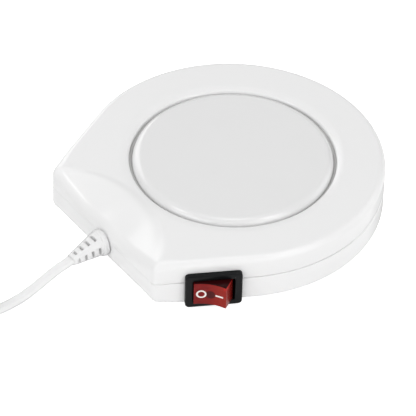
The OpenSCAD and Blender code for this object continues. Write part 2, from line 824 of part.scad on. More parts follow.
module bezel_plate() {
  l = bezel_l - 2 * bezel_r;
  h = bezel_h - 2 * bezel_r;
  rotate([90, 0, 0]) linear_extrude(bezel_t) {
    square([bezel_l, h], center = true);
    square([l, bezel_h], center = true);
    for (x = [1, -1], y = [1, -1]) translate([x * l / 2, y * h / 2]) circle(r = bezel_r);
  }
}

module switch_frame() {
  catch = body_l / 2 + cut_gap + 0.4;
  catch_root = body_l / 2 - 1;
  catch_end = 7;
  catch_w = 5;
  color([0.13, 0.13, 0.14]) on_wall() difference() {
    union() {
      bezel_plate();
      translate([-body_l / 2, -eps, -body_w / 2]) cube([body_l, body_d + eps, body_w]);
      for (s = [1, -1]) translate([0, 0, -catch_w / 2]) linear_extrude(catch_w) polygon([
        [s * catch_root, wall + seat_gap], [s * catch, wall + seat_gap],
        [s * body_l / 2, catch_end], [s * catch_root, catch_end]
      ]);
    }
    translate([-well_l / 2, -bezel_t - past, -well_w / 2])
      cube([well_l, well_back + bezel_t + past, well_w]);
    translate([0, pivot_y, -well_w / 2 - pin_pocket])
      cylinder(r = pivot_r + fit, h = well_w + 2 * pin_pocket);
    for (x = [-terminal_x, 0, terminal_x])
      translate([x - blade_t / 2 - fit, 0, -blade_w / 2 - fit])
        cube([blade_t + 2 * fit, body_d + past, blade_w + 2 * fit]);
  }
}

// The rocker's side outline: y is inwards from the pivot, the face is towards -y
module rocker_profile(skin, run) {
  r = skirt_r - skin;
  slope = skin * (rocker_crest - rocker_valley) / rocker_half;
  right = concat(
    [[rocker_half - skin, -rocker_crest + skin + slope * (skin > 0 ? 1 : 0)]],
    [for (a = [0, skirt_a / 2, skirt_a]) r * [cos(a), sin(a)]],
    run > 0 ? [[r * cos(skirt_a), skirt_r * sin(skirt_a) + run]] : []
  );
  left = [for (k = [len(right) - 1 : -1 : 0]) [-right[k][0], right[k][1]]];
  polygon(concat([[0, -rocker_valley + skin]], right, left));
}

module rocker() {
  pin_end = well_w / 2 + pin_pocket - seat_gap;
  side_t = 1;
  color([0.62, 0.14, 0.11]) on_pivot() difference() {
    union() {
      difference() {
        translate([0, 0, -rocker_w / 2]) linear_extrude(rocker_w) rocker_profile(0, 0);
        translate([0, 0, -rocker_w / 2 + side_t])
          linear_extrude(rocker_w - 2 * side_t) rocker_profile(rocker_skin, past);
      }
      translate([0, bore_start - 1, 0]) rotate([-90, 0, 0])
        cylinder(r = post_out, h = post_end - bore_start + 1);
      for (s = [1, -1]) translate([0, 0, s > 0 ? rocker_w / 2 - eps : -pin_end])
        cylinder(r = pivot_r, h = pin_end - rocker_w / 2 + eps);
    }
    translate([0, bore_start, 0]) rotate([-90, 0, 0])
      cylinder(r = plunger_r + fit, h = post_end - bore_start + past);
  }
}

module neon_lamp() {
  color("orange") on_pivot() translate([3.95, -1.9, -3.3]) cylinder(r = 1.4, h = 6.6);
}
module lamp_resistor() {
  color("tan") on_pivot() translate([-3.9, -1.9, -2.4]) cylinder(r = 1.2, h = 4.8);
}

module plunger() {
  color("white") on_pivot() rotate([-90, 0, 0]) {
    translate([0, 0, plunger_back])
      cylinder(r = plunger_r, h = plunger_reach - plunger_r - plunger_back);
    translate([0, 0, plunger_reach - plunger_r]) sphere(r = plunger_r);
  }
}
module plunger_spring() {
  turns = 4;
  steps = 12;
  wire = 0.2;
  mean = plunger_r - wire - fit;
  length = plunger_back - bore_start - 2 * wire - 2 * eps;
  n = turns * steps;
  points = [for (k = [0 : n]) [
    mean * cos(360 * k / steps), mean * sin(360 * k / steps), bore_start + wire + eps + length * k / n
  ]];
  color("silver") on_pivot() rotate([-90, 0, 0]) tube(points, wire, wire, 6);
}

// A shallow V of strip that rocks on the common terminal's ridge
module contact_bridge() {
  end = bridge_half * [cos(bridge_bend), -sin(bridge_bend)];
  color("goldenrod") on_wall() translate([0, bridge_y, -bridge_w / 2]) rotate([0, 0, bridge_tilt])
    translate([0, -bridge_play, 0]) linear_extrude(bridge_w) polygon([
      [0, 0], [end[0], end[1]], [end[0], end[1] - bridge_t],
      [0, -bridge_t], [-end[0], end[1] - bridge_t], [-end[0], end[1]]
    ]);
}

module blade(x, from) {
  translate([x - blade_t / 2, from, -blade_w / 2]) cube([blade_t, body_d + blade_out - from, blade_w]);
}
module terminal_common() {
  color("gold") on_wall() {
    blade(0, bridge_y + ridge_r);
    translate([0, bridge_y + bridge_play + ridge_r, -blade_w / 2]) cylinder(r = ridge_r, h = blade_w);
  }
}
// A blade with its round contact, which stands a little towards the middle
module side_terminal(s) {
  contact_r = 0.9;
  contact_in = 0.5;
  contact_t = 0.6;
  color("gold") on_wall() {
    blade(s * terminal_x, contact_y + contact_t);
    translate([s * (terminal_x - contact_in), contact_y, 0]) rotate([-90, 0, 0])
      cylinder(r = contact_r, h = contact_r);
  }
}
module terminal_load() { side_terminal(-1); }
module terminal_lamp() { side_terminal(1); }

// Crimped sleeve pushed on a terminal's blade
module receptacle(x) {
  start = body_d + receptacle_gap;
  room = blade_out - receptacle_gap + seat_gap;
  t = 2.6;
  w = 6.4;
  color("silver") on_wall() translate([x, start, 0]) difference() {
    union() {
      translate([-t / 2, 0, -w / 2]) cube([t, receptacle_l, w]);
      translate([0, receptacle_l - eps, 0]) rotate([-90, 0, 0])
        cylinder(r = barrel_r, h = barrel_l + eps);
    }
    translate([-blade_t / 2 - fit, -past, -blade_w / 2 - fit])
      cube([blade_t + 2 * fit, room + past, blade_w + 2 * fit]);
  }
}
module receptacle_common() { receptacle(0); }
module receptacle_load() { receptacle(-terminal_x); }
module receptacle_lamp() { receptacle(terminal_x); }

// ---------- cord ----------

module strain_relief() {
  rings = 4;
  ring_pitch = 2.9;
  ring_start = 1.4;
  slot_w = 1;
  root_r = 4.7;
  tip_r = 2.3;
  sunk = 0.5;
  reveal = 0.4;
  flange_h = inner_flange_t - 2 * seat_gap;
  color("white") {
    on_gland() {
      translate([0, 0, reveal]) cylinder(r = collar_r, h = collar_l - reveal);
      translate([0, 0, -wall - eps]) cylinder(r = neck_r, h = wall + reveal + 2 * eps);
      translate([0, 0, -wall - flange_h]) cylinder(r = inner_flange_r, h = flange_h);
    }
    translate([-face_x - collar_l, gland_y, gland_z]) rotate([0, -90 - droop, sway]) difference() {
      translate([0, 0, -sunk]) cylinder(r1 = root_r, r2 = tip_r, h = taper_l + sunk);
      // four slots to a ring, with a spine between each two
      for (k = [0 : rings - 1]) {
        z = ring_start + ring_pitch * k;
        r = root_r + (tip_r - root_r) * z / taper_l;
        for (q = [0 : 3]) rotate([0, 0, 90 * q]) translate([0.6 * r, -0.47 * r, z])
          cube([r, 0.94 * r, slot_w]);
      }
    }
  }
}

module cord_tail() {
  color("gainsboro") translate([tail_start_x, gland_y, gland_z]) rotate([90, 0, 90])
    linear_extrude(tail_end_x - tail_start_x) {
      square([cord_w - cord_t, cord_t], center = true);
      for (s = [1, -1]) translate([s * (cord_w - cord_t) / 2, 0]) circle(r = cord_t / 2);
    }
}
module cord_clamp() {
  color("white") translate([clamp_x, gland_y, gland_z + cord_t / 2]) difference() {
    union() {
      translate([-clamp_l / 2, -clamp_screw_y, 0]) cube([clamp_l, 2 * clamp_screw_y, clamp_h]);
      for (s = [1, -1]) translate([0, s * clamp_screw_y, 0]) cylinder(r = clamp_post_r, h = clamp_h);
    }
    for (s = [1, -1]) translate([0, s * clamp_screw_y, -past])
      cylinder(r = clamp_screw_r + fit, h = clamp_h + 2 * past);
  }
}
module clamp_screws() {
  color("silver") for (s = [1, -1])
    translate([clamp_x, gland_y + s * clamp_screw_y, gland_z + cord_t / 2 + clamp_h])
      screw(clamp_screw_r, 8, 2.2, 1.4);
}

// A point of the switch's frame in the body's frame
function wall_point(x, y, z) =
  let (a = 90 - wall_a)
  [
    -face_x + (switch_along + x) * cos(a) - y * sin(a),
    -face_w / 2 + (switch_along + x) * sin(a) + y * cos(a),
    switch_z + z
  ];

module wire(pts) { tube(smooth(pts, 5), wire_r, wire_r, 8); }
module wire_live() {
  color("saddlebrown") wire([
    [tail_end_x + wire_gap, gland_y - 1.1, gland_z], [tail_end_x + 5, gland_y - 1.6, gland_z - 0.5],
    [-31, -8, 8], [-26.5, -12, 8.5], wall_point(0, wire_start_y + 6, 0.5), wall_point(0, wire_start_y, 0)
  ]);
}
module wire_neutral() {
  color("royalblue") wire([
    [tail_end_x + wire_gap, gland_y + 1.1, gland_z], [tail_end_x + 5, gland_y + 1.6, gland_z - 0.4],
    [-32, 2, 8.4], splice_at - [5 + wire_gap, 0, 0]
  ]);
}
module wire_load() {
  color("crimson") wire([
    wall_point(-terminal_x, wire_start_y, 0), wall_point(-terminal_x, wire_start_y + 2.5, -0.2),
    wall_point(-terminal_x, wire_start_y + 6, -2.1), wall_point(-terminal_x, wire_start_y + 9.5, -3),
    [-22, -5, 5.8], [-13, -3, 5.8],
    [stat_at[0] - stat_wire_x - 6, stat_at[1] - 0.6, stat_terminal_z - 0.6],
    [stat_at[0] - stat_wire_x - wire_gap, stat_at[1], stat_terminal_z + stat_blade[2] / 2]
  ]);
}
module wire_lamp() {
  color("gray") wire([
    wall_point(terminal_x, wire_start_y, 0), wall_point(terminal_x, wire_start_y + 5, 0.6),
    [-15, -9, 9], [-13, -3, 8.6], splice_at + [11, 0, 0], splice_at + [6 + wire_gap, 0, 0]
  ]);
}
module wire_link() {
  color("ivory") wire([
    [fuse_at[0] + fuse_l / 2 + fuse_lead + wire_gap, fuse_at[1], fuse_z],
    [fuse_at[0] + fuse_l / 2 + 2 * fuse_lead, fuse_at[1] + 3, fuse_z - 3],
    [4, 22, 10], [16, 24, 8], [26, 20, 8], [30, 12, 8.4],
    [stat_at[0] + stat_wire_x + 6, stat_at[1], stat_terminal_z + stat_blade[2] / 2],
    [stat_at[0] + stat_wire_x + wire_gap, stat_at[1], stat_terminal_z + stat_blade[2] / 2]
  ]);
}
module splice_cap() {
  color("whitesmoke") translate(splice_at - [5, 0, 0]) rotate([0, 90, 0]) cylinder(r = 2.4, h = 11);
}

module power_cord() {
  color("white") tube(smooth(lead_points, 2), cord_w / 2, cord_t / 2);
}
module cord_coil() {
  color("white") translate([coil_at[0], coil_at[1], 0])
    rotate_extrude() translate([coil_in, 0]) square([coil_out - coil_in, coil_h]);
}
module cord_tie() {
  t = 0.8;
  w = 4;
  clear = 2 * seat_gap;
  color("white") translate([coil_at[0], coil_at[1], 0]) rotate([0, 0, 45])
    translate([0, w / 2, 0]) rotate([90, 0, 0]) linear_extrude(w) difference() {
      translate([coil_in - clear - t, 0])
        square([coil_out - coil_in + 2 * (clear + t), coil_h + seat_gap + t]);
      translate([coil_in - clear, -past])
        square([coil_out - coil_in + 2 * clear, coil_h + seat_gap + past]);
    }
}
module plug_lead() {
  color("white") tube(smooth(end_points, 3), cord_w / 2, cord_t / 2);
}

module on_plug() { translate(plug_at) rotate([-90, 0, 0]) children(); }
module plug_body() {
  narrow = 9;
  color("white") {
    on_plug() cylinder(r1 = plug_relief_r[0], r2 = plug_relief_r[1], h = plug_relief_l);
    translate(plug_at + [0, plug_relief_l - eps, -plug_t / 2])
      linear_extrude(plug_t) polygon([
        [-narrow / 2, 0], [narrow / 2, 0], [plug_w / 2, plug_l * 0.6], [plug_w / 2, plug_l],
        [-plug_w / 2, plug_l], [-plug_w / 2, plug_l * 0.6]
      ]);
  }
}
module plug_pin(s) {
  color("silver") translate(plug_at + [s * pin_pitch / 2, plug_relief_l + plug_l - eps, 0])
    rotate([-90, 0, 0]) {
      cylinder(r = pin_r, h = pin_l - pin_r);
      translate([0, 0, pin_l - pin_r]) sphere(r = pin_r);
    }
}
module plug_pin_live() { plug_pin(-1); }
module plug_pin_neutral() { plug_pin(1); }

set_out() top_housing();
set_out() bottom_housing();
set_out() foot_front_left();
set_out() foot_front_right();
set_out() foot_back_left();
set_out() foot_back_right();
set_out() housing_screws();
set_out() heating_plate();
set_out() plate_seal();
set_out() retaining_ring();
set_out() ring_screws();
set_out() mica_upper();
set_out() heater_card();
set_out() heater_ribbon();
set_out() mica_lower();
set_out() pressure_plate();
set_out() heater_nuts();
set_out() thermostat_cap();
set_out() thermostat_disc();
set_out() thermostat_base();
set_out() thermostat_bracket();
set_out() thermostat_screws();
set_out() thermostat_terminals();
set_out() thermal_fuse();
set_out() fuse_sleeve();
set_out() fuse_clip();
set_out() switch_frame();
set_out() rocker();
set_out() neon_lamp();
set_out() lamp_resistor();
set_out() plunger_spring();
set_out() plunger();
set_out() contact_bridge();
set_out() terminal_common();
set_out() terminal_load();
set_out() terminal_lamp();
set_out() receptacle_common();
set_out() receptacle_load();
set_out() receptacle_lamp();
set_out() strain_relief();
set_out() cord_tail();
set_out() cord_clamp();
set_out() clamp_screws();
set_out() wire_live();
set_out() wire_neutral();
set_out() wire_load();
set_out() wire_lamp();
set_out() wire_link();
set_out() splice_cap();
set_out() power_cord();
set_out() cord_coil();
set_out() cord_tie();
set_out() plug_lead();
set_out() plug_body();
set_out() plug_pin_live();
set_out() plug_pin_neutral();
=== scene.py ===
import json
import math

import bpy
import numpy as np
from mathutils import Matrix, Vector


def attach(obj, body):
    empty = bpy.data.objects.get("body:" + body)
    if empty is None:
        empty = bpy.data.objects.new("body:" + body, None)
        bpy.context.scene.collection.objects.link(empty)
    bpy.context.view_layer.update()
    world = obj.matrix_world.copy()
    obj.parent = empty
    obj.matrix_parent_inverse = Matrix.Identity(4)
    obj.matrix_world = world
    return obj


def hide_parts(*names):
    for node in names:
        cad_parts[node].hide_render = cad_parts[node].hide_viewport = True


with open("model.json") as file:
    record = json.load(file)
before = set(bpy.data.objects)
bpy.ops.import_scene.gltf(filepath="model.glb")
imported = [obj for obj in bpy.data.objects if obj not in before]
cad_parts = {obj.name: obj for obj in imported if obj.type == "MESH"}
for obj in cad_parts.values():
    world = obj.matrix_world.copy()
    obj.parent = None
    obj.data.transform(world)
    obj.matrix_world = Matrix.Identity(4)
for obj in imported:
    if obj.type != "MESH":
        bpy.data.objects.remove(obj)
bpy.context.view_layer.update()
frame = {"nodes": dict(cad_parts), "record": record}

mm = 0.001
plateX = 1.15  # the plate's axis from the frame's origin, mm; shapes below are worked out round that axis


# Camera

camera = {
    "azimuth": -36.767, "elevation": 41.277, "roll": 1.464, "distance": 1161.8,
    "target": (-12.198, -1.546, 2.77), "lens": 267.1, "sensor": 36,
}


def makeCamera(c):
    a, e, roll = (math.radians(c[k]) for k in ("azimuth", "elevation", "roll"))
    back = Vector((math.sin(a) * math.cos(e), -math.cos(a) * math.cos(e), math.sin(e)))
    right = (-back).cross(Vector((0, 0, 1))).normalized()
    up = right.cross(-back)
    x = right * math.cos(roll) + up * math.sin(roll)
    y = up * math.cos(roll) - right * math.sin(roll)
    place = (Vector(c["target"]) + Vector((plateX, 0, 0)) + back * c["distance"]) * mm
    turn = Matrix((x, y, back)).transposed().to_4x4()
    data = bpy.data.cameras.new("camera")
    data.lens, data.sensor_width = c["lens"], c["sensor"]
    data.clip_start, data.clip_end = 0.05, 20
    holder = bpy.data.objects.new("camera", data)
    bpy.context.scene.collection.objects.link(holder)
    holder.matrix_world = Matrix.Translation(place) @ turn
    bpy.context.scene.camera = holder


makeCamera(camera)
print("camera placed")


# Shapes as whole arrays

def loft(rows, closed=False):
    # rings joined one to the next; closed joins the last to the first, else a point closes each end ring
    count, size = rows.shape[:2]
    ring = np.arange(size)
    after = (ring + 1) % size
    last = count if closed else count - 1
    here = np.arange(last)[:, None] * size
    there = ((np.arange(last) + 1) % count)[:, None] * size
    quads = np.stack([here + ring, here + after, there + after, there + ring], -1).reshape(-1, 4)
    points, tris = rows.reshape(-1, 3), np.zeros((0, 3), int)
    if not closed:
        points = np.vstack([points, rows[0].mean(0), rows[-1].mean(0)])
        top = (count - 1) * size
        ends = np.full(size, count * size)
        tris = np.vstack([np.stack([after, ring, ends], -1), np.stack([ring + top, after + top, ends + 1], -1)])
    return outward(points, quads, tris)


def outward(points, quads, tris):
    # six times the volume is the sum over triangles of a . (b x c); below zero, the faces look inwards
    every = np.vstack([quads[:, [0, 1, 2]], quads[:, [0, 2, 3]], tris])
    a, b, c = (points[every[:, k]] for k in range(3))
    if np.einsum("ij,ij->i", a, np.cross(b, c)).sum() < 0:
        quads, tris = quads[:, ::-1], tris[:, ::-1]
    return points, quads, tris


def join(parts):
    # several closed shapes as one list of points and faces
    starts = np.cumsum([0] + [len(p[0]) for p in parts[:-1]])
    return (np.vstack([p[0] for p in parts]),
            np.vstack([p[1] + s for p, s in zip(parts, starts)]),
            np.vstack([p[2] + s for p, s in zip(parts, starts)]))


def lathe(profile, centre=(0, 0), steps=160):
    # each profile point (radius, height) turned about an upright axis: x = r cos a, y = r sin a
    profile = np.array(profile, float)
    a = np.linspace(0, 2 * np.pi, steps, endpoint=False)
    r, z = profile[:, 0, None], profile[:, 1, None]
    return np.stack([centre[0] + r * np.cos(a), centre[1] + r * np.sin(a), z + 0 * a], -1)


def arc(centre, radius, start, end, steps):
    # points of a circle's arc, (cx + r cos a, cy + r sin a), angles in degrees
    a = np.radians(np.linspace(start, end, steps + 1))
    return np.stack([centre[0] + radius * np.cos(a), centre[1] + radius * np.sin(a)], -1)


def roundedLoop(halfWidth, halfHeight, radius, steps=6):
    # a rectangle's loop with a quarter circle at each corner
    corners = [(1, 1, 0), (-1, 1, 90), (-1, -1, 180), (1, -1, 270)]
    return np.vstack([arc((sx * (halfWidth - radius), sy * (halfHeight - radius)), radius, a, a + 90, steps)
                      for sx, sy, a in corners])


def smoothRoute(points, steps):
    # Catmull-Rom through every row: each span is the usual cubic of its four neighbours
    p = np.vstack([2 * points[0] - points[1], points, 2 * points[-1] - points[-2]])
    t = (np.arange(steps) / steps)[None, :, None]
    a, b, c, d = (p[k:len(p) - 3 + k, None, :] for k in range(4))
    spans = 0.5 * (2 * b + (c - a) * t + (2 * a - 5 * b + 4 * c - d) * t**2 + (3 * b - a - 3 * c + d) * t**3)
    return np.vstack([spans.reshape(-1, points.shape[1]), points[-1]])


def place(points):
    # millimetres round the plate's axis to metres in the frame
    return (points + np.array([plateX, 0, 0])) * mm


def makePiece(name, parts, body="base", sharp=40):
    points, quads, tris = join(parts)
    mesh = bpy.data.meshes.new(name)
    mesh.from_pydata(place(points).tolist(), [], quads.tolist() + tris.tolist())
    mesh.validate()
    mesh.shade_smooth()
    mesh.set_sharp_from_angle(angle=math.radians(sharp))
    piece = bpy.data.objects.new(name, mesh)
    bpy.context.scene.collection.objects.link(piece)
    if body:
        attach(piece, body)
    return piece


def cut(piece, parts, sharp=40):
    # takes the closed shapes out of the piece and keeps the result as its mesh
    cutter = makePiece(piece.name + "Cutter", parts, None)
    modifier = piece.modifiers.new("cut", "BOOLEAN")
    modifier.object, modifier.solver, modifier.operation = cutter, "EXACT", "DIFFERENCE"
    graph = bpy.context.evaluated_depsgraph_get()
    mesh = bpy.data.meshes.new_from_object(piece.evaluated_get(graph))
    piece.modifiers.clear()
    mesh.name = piece.name
    piece.data = mesh
    mesh.shade_smooth()
    mesh.set_sharp_from_angle(angle=math.radians(sharp))
    bpy.data.objects.remove(cutter)


def fillAttribute(piece, name, values):
    layer = piece.data.attributes.new(name, "FLOAT", "POINT")
    layer.data.foreach_set("value", np.asarray(values, np.float32))


# Materials

def linear(code):
    # sRGB hex to linear: ((v + 0.055) / 1.055) ^ 2.4, and v / 12.92 near black
    values = [int(code[k:k + 2], 16) / 255 for k in (1, 3, 5)]
    return tuple(v / 12.92 if v <= 0.04045 else ((v + 0.055) / 1.055) ** 2.4 for v in values) + (1,)


def addNode(tree, kind, settings, links=None):
    node = tree.nodes.new("ShaderNode" + kind)
    for key, value in settings.items():
        if isinstance(key, str) and hasattr(node, key):
            setattr(node, key, value)
        else:
            node.inputs[key].default_value = value
    for key, source in (links or {}).items():
        tree.links.new(source, node.inputs[key])
    return node


def emptyMaterial(name):
    material = bpy.data.materials.new(name)
    material.use_nodes = True
    material.node_tree.nodes.clear()
    return material, material.node_tree


def makeMaterial(name, look):
    # a grain of real size in the bump, and slower patches in the roughness and between two close colours
    material, tree = emptyMaterial(name)
    at = addNode(tree, "TexCoord", {}).outputs["Object"]
    stretched = addNode(tree, "Mapping", {"Scale": look.get("stretch", (1, 1, 1))}, {"Vector": at})
    grain = addNode(tree, "TexNoise", {"Scale": 1 / (look["grain"] * mm), "Detail": 3, "Roughness": 0.6},
                    {"Vector": stretched.outputs["Vector"]})
    patches = addNode(tree, "TexNoise", {"Scale": 1 / (look.get("patch", 14) * mm), "Detail": 2},
                      {"Vector": stretched.outputs["Vector"]})
    bump = addNode(tree, "Bump", {"Strength": 1, "Distance": look["depth"] * mm},
                   {"Height": grain.outputs["Fac"]})
    spread = look.get("spread", 0.04)
    gloss = addNode(tree, "MapRange", {"From Min": 0.1, "From Max": 0.9, "To Min": look["roughness"] - spread,
                                       "To Max": look["roughness"] + spread}, {"Value": patches.outputs["Fac"]})
    tint = addNode(tree, "Mix", {"data_type": "RGBA", 6: linear(look["colour"]), 7: linear(look["second"])},
                   {0: patches.outputs["Fac"]})
    if "rim" in look:
        # painted shade: the surface turned almost edge-on is made darker, towards the rim colour
        facing = addNode(tree, "LayerWeight", {"Blend": 0.5})
        rim = addNode(tree, "MapRange", {"From Min": look.get("rimStart", 0.7), "From Max": 1},
                      {"Value": facing.outputs["Facing"]})
        tint = addNode(tree, "Mix", {"data_type": "RGBA", 7: linear(look["rim"])},
                       {0: rim.outputs["Result"], 6: tint.outputs[2]})
    if "shade" in look:
        # painted shade, by the share in the piece's shade attribute
        shade = addNode(tree, "Attribute", {"attribute_name": "shade"})
        tint = addNode(tree, "Mix", {"data_type": "RGBA", 7: linear(look["shade"])},
                       {0: shade.outputs["Fac"], 6: tint.outputs[2]})
    shader = addNode(tree, "BsdfPrincipled", look.get("shader", {}), {
        "Base Color": tint.outputs[2], "Roughness": gloss.outputs["Result"], "Normal": bump.outputs["Normal"]})
    addNode(tree, "OutputMaterial", {}, {"Surface": shader.outputs["BSDF"]})
    return material


def finish(colour, second, roughness, grain, depth, **more):
    # two close colours, the roughness, and the grain's size and height in millimetres
    return {"colour": colour, "second": second, "roughness": roughness, "grain": grain, "depth": depth, **more}


metal, plastic, silicone = {"Metallic": 1}, {"IOR": 1.53}, {"IOR": 1.41}
# named for the real material and how it was made, each with what that gives the eye
finishes = {
    # satin white from a spark-eroded tool, a faint clear sheen, painted shade where it is seen edge-on and in a
    # soft band inside the dish's crease
    "whiteAbsMoulded": finish("#EDEDED", "#ECECEC", 0.3, 0.4, 0.002, shade="#E2E2E2", rim="#9C9C9C", spread=0,
        shader={"IOR": 1.53, "Specular IOR Level": 0.4, "Coat Weight": 0.25, "Coat Roughness": 0.07}),
    # sprayed and baked paint: smooth, a little greyer, faint orange peel under a clear gloss
    "whiteCoatedAluminium": finish("#E6E6E6", "#E4E4E4", 0.2, 0.9, 0.002,
        shader={"IOR": 1.5, "Specular IOR Level": 0.2, "Coat Weight": 0.7, "Coat Roughness": 0.04}),
    # mid grey and dull
    "siliconeSealMoulded": finish("#CACAC9", "#C2C2C1", 0.5, 0.3, 0.01, shader=silicone),
    # soft white with a slight sheen, painted grey shade where it turns away
    "whitePvcMoulded": finish("#E8E8E8", "#E4E4E4", 0.42, 0.35, 0.008, rim="#A0A0A0", rimStart=0.5, shader=plastic),
    # smoother along its run, painted grey shade along both edges
    "whitePvcExtruded": finish("#ECECEC", "#E8E8E8", 0.38, 0.5, 0.005, rim="#7C7C7C", rimStart=0.35,
                               shader=plastic),
    # glass-filled: near black, satin, blue-grey where it shines
    "blackNylonMoulded": finish("#101213", "#0D0E10", 0.36, 0.25, 0.008,
                                shader={"IOR": 1.53, "Specular IOR Level": 0.13}),
    # dark grey, dull, with a fine rough grain
    "greyRubberMoulded": finish("#4A4A4C", "#434345", 0.72, 0.3, 0.02, shader={"IOR": 1.52}),
    # bright grey with cloudy patches and fine spangle
    "steelZincPlated": finish("#B9B9B6", "#A9AAA8", 0.34, 0.5, 0.006, patch=4, spread=0.08, shader=metal),
    # amber flakes, glossy in places
    "micaPressed": finish("#9C8453", "#7F6A41", 0.45, 1.2, 0.02, patch=3, spread=0.15, shader={"IOR": 1.58}),
    # iron-chromium oxidised by heat: warm grey with rolling lines
    "resistanceRibbonRolled": finish("#77716B", "#5F5A57", 0.42, 0.3, 0.005, stretch=(0.1, 1, 1), shader=metal),
    # pale metal with draw lines
    "aluminiumDrawn": finish("#D2D2D0", "#C6C6C5", 0.3, 0.25, 0.004, stretch=(1, 1, 0.12), shader=metal),
    # yellowish metal with rolling lines
    "bimetalRolled": finish("#A8905F", "#9C8455", 0.35, 0.3, 0.004, stretch=(0.12, 1, 1), shader=metal),
    # dark brown with paler filler
    "phenolicMoulded": finish("#3E2417", "#4A2E20", 0.5, 0.25, 0.012, patch=1.5, shader={"IOR": 1.6}),
    # yellow metal with fine lines
    "brassStamped": finish("#C79F55", "#B98F48", 0.28, 0.3, 0.004, stretch=(1, 0.15, 1), shader=metal),
    # pale warm grey with a soft shine
    "brassTinned": finish("#C3C0B9", "#B5B2AA", 0.3, 0.35, 0.005, shader=metal),
    # pale grey, brighter than the terminals
    "fuseCaseTinned": finish("#BFBFBB", "#B1B1AE", 0.26, 0.3, 0.004, shader=metal),
    # matt cream, raised crossing strands half a millimetre apart
    "glassSleeveBraided": finish("#E2DAC2", "#D3CAB0", 0.8, 0.5, 0.12, patch=1,
                                 shader={"IOR": 1.5, "Sheen Weight": 0.3}),
    # clear glass tube with the orange of its electrodes
    "neonGlassDrawn": finish("#E9C39B", "#E0B488", 0.1, 2, 0.002, shader={"IOR": 1.5, "Transmission Weight": 0.6}),
    # tan under a glossy lacquer
    "resistorLacquered": finish("#C3A271", "#B89664", 0.3, 0.3, 0.006, shader={"IOR": 1.52}),
    # grey steel with a tight shine
    "springWireDrawn": finish("#A5A5A5", "#979797", 0.25, 0.2, 0.002, shader=metal),
    # milky white, satin
    "naturalNylonMoulded": finish("#E8E8E1", "#E2E2DA", 0.45, 0.3, 0.008, shader=plastic),
    # coloured wire insulation with a soft shine
    "brownPvcExtruded": finish("#5E3820", "#57341E", 0.42, 0.4, 0.005, shader=plastic),
    "bluePvcExtruded": finish("#2C519F", "#294B95", 0.42, 0.4, 0.005, shader=plastic),
    # heat-proof wire insulation, duller and softer
    "redSiliconeExtruded": finish("#9F231C", "#96211A", 0.5, 0.4, 0.005, shader=silicone),
    "whiteSiliconeExtruded": finish("#DDD8C9", "#D5D0C0", 0.5, 0.4, 0.005, shader=silicone),
    # white strap, a little glossier than the cord
    "whiteTieExtruded": finish("#EFEFEF", "#EBEBEB", 0.4, 0.4, 0.006, shader={"IOR": 1.5}),
    # warm grey, nearly mirror-bright, faint turning marks across the pin
    "nickelPlated": finish("#CDCAC2", "#C4C1B8", 0.16, 0.3, 0.002, stretch=(0.1, 1, 0.1), shader=metal),
    # screen-printed ink: matt white, slightly uneven
    "whiteInkPrinted": finish("#F4F0EC", "#ECE6E0", 0.5, 0.15, 0.006, shader={"IOR": 1.5}),
}
materials = {name: makeMaterial(name, look) for name, look in finishes.items()}
print("materials made:", len(materials))


def dress(piece, finish):
    piece.data.materials.clear()
    piece.data.materials.append(materials[finish])


# Cord

cord = {
    "width": 4.2, "thickness": 2.4, "waist": 0.2, "section": 20, "length": 1.19,
    # x, y, z and the turn of the flat side in degrees, from the strain relief to the coil
    "lead": [(-71.9, -1.86, 9.0, 0), (-74.91, -2.1, 8.82, 0), (-77.4, -2.35, 8.4, 0), (-80, -2.2, 7.7, 0),
             (-84, -1.85, 5.8, 0), (-88.9, -1.7, 3.6, 0), (-92.6, -1.75, 2.3, 0), (-96.3, -1.95, 1.55, 0),
             (-101, -2.3, 1.34, 0), (-105.6, -2.4, 1.34, 0), (-111, -2.2, 1.5, 25), (-118, -2.0, 2.0, 60)],
    "coilCentre": (-124, 27), "coilOuter": 28.9, "pitch": 2.6, "low": 2.2, "high": 6.6,
    "turnsIn": 3, "turnUp": 1, "turnsOut": 3, "rest": 66 / 360, "bulge": 2.4, "perTurn": 24,
    "end": [(-154.2, 25.5, 6.8, 70), (-156.1, 33, 6.8, 35), (-157, 40, 6.8, 8), (-157, 47.5, 6.8, 0)],
}


def coilRoute(c):
    # angle falls evenly; the radius shrinks by the pitch each turn, dips while it climbs, then grows again
    turns = c["turnsIn"] + c["turnUp"] + c["turnsOut"] + c["rest"]
    t = np.linspace(0, turns, int(round(turns * c["perTurn"])) + 1)
    up = np.clip(t - c["turnsIn"], 0, 1)
    out = np.clip(t - c["turnsIn"] - c["turnUp"], 0, None)
    radius = c["coilOuter"] - c["pitch"] * np.clip(t, 0, c["turnsIn"]) - c["bulge"] * np.sin(np.pi * up)
    radius = radius + c["pitch"] * out
    rise = up * up * (3 - 2 * up)
    angle = np.radians(-90) - 2 * np.pi * t
    return np.stack([c["coilCentre"][0] + radius * np.cos(angle), c["coilCentre"][1] + radius * np.sin(angle),
                     c["low"] + (c["high"] - c["low"]) * rise, 90 + 0 * t], -1)


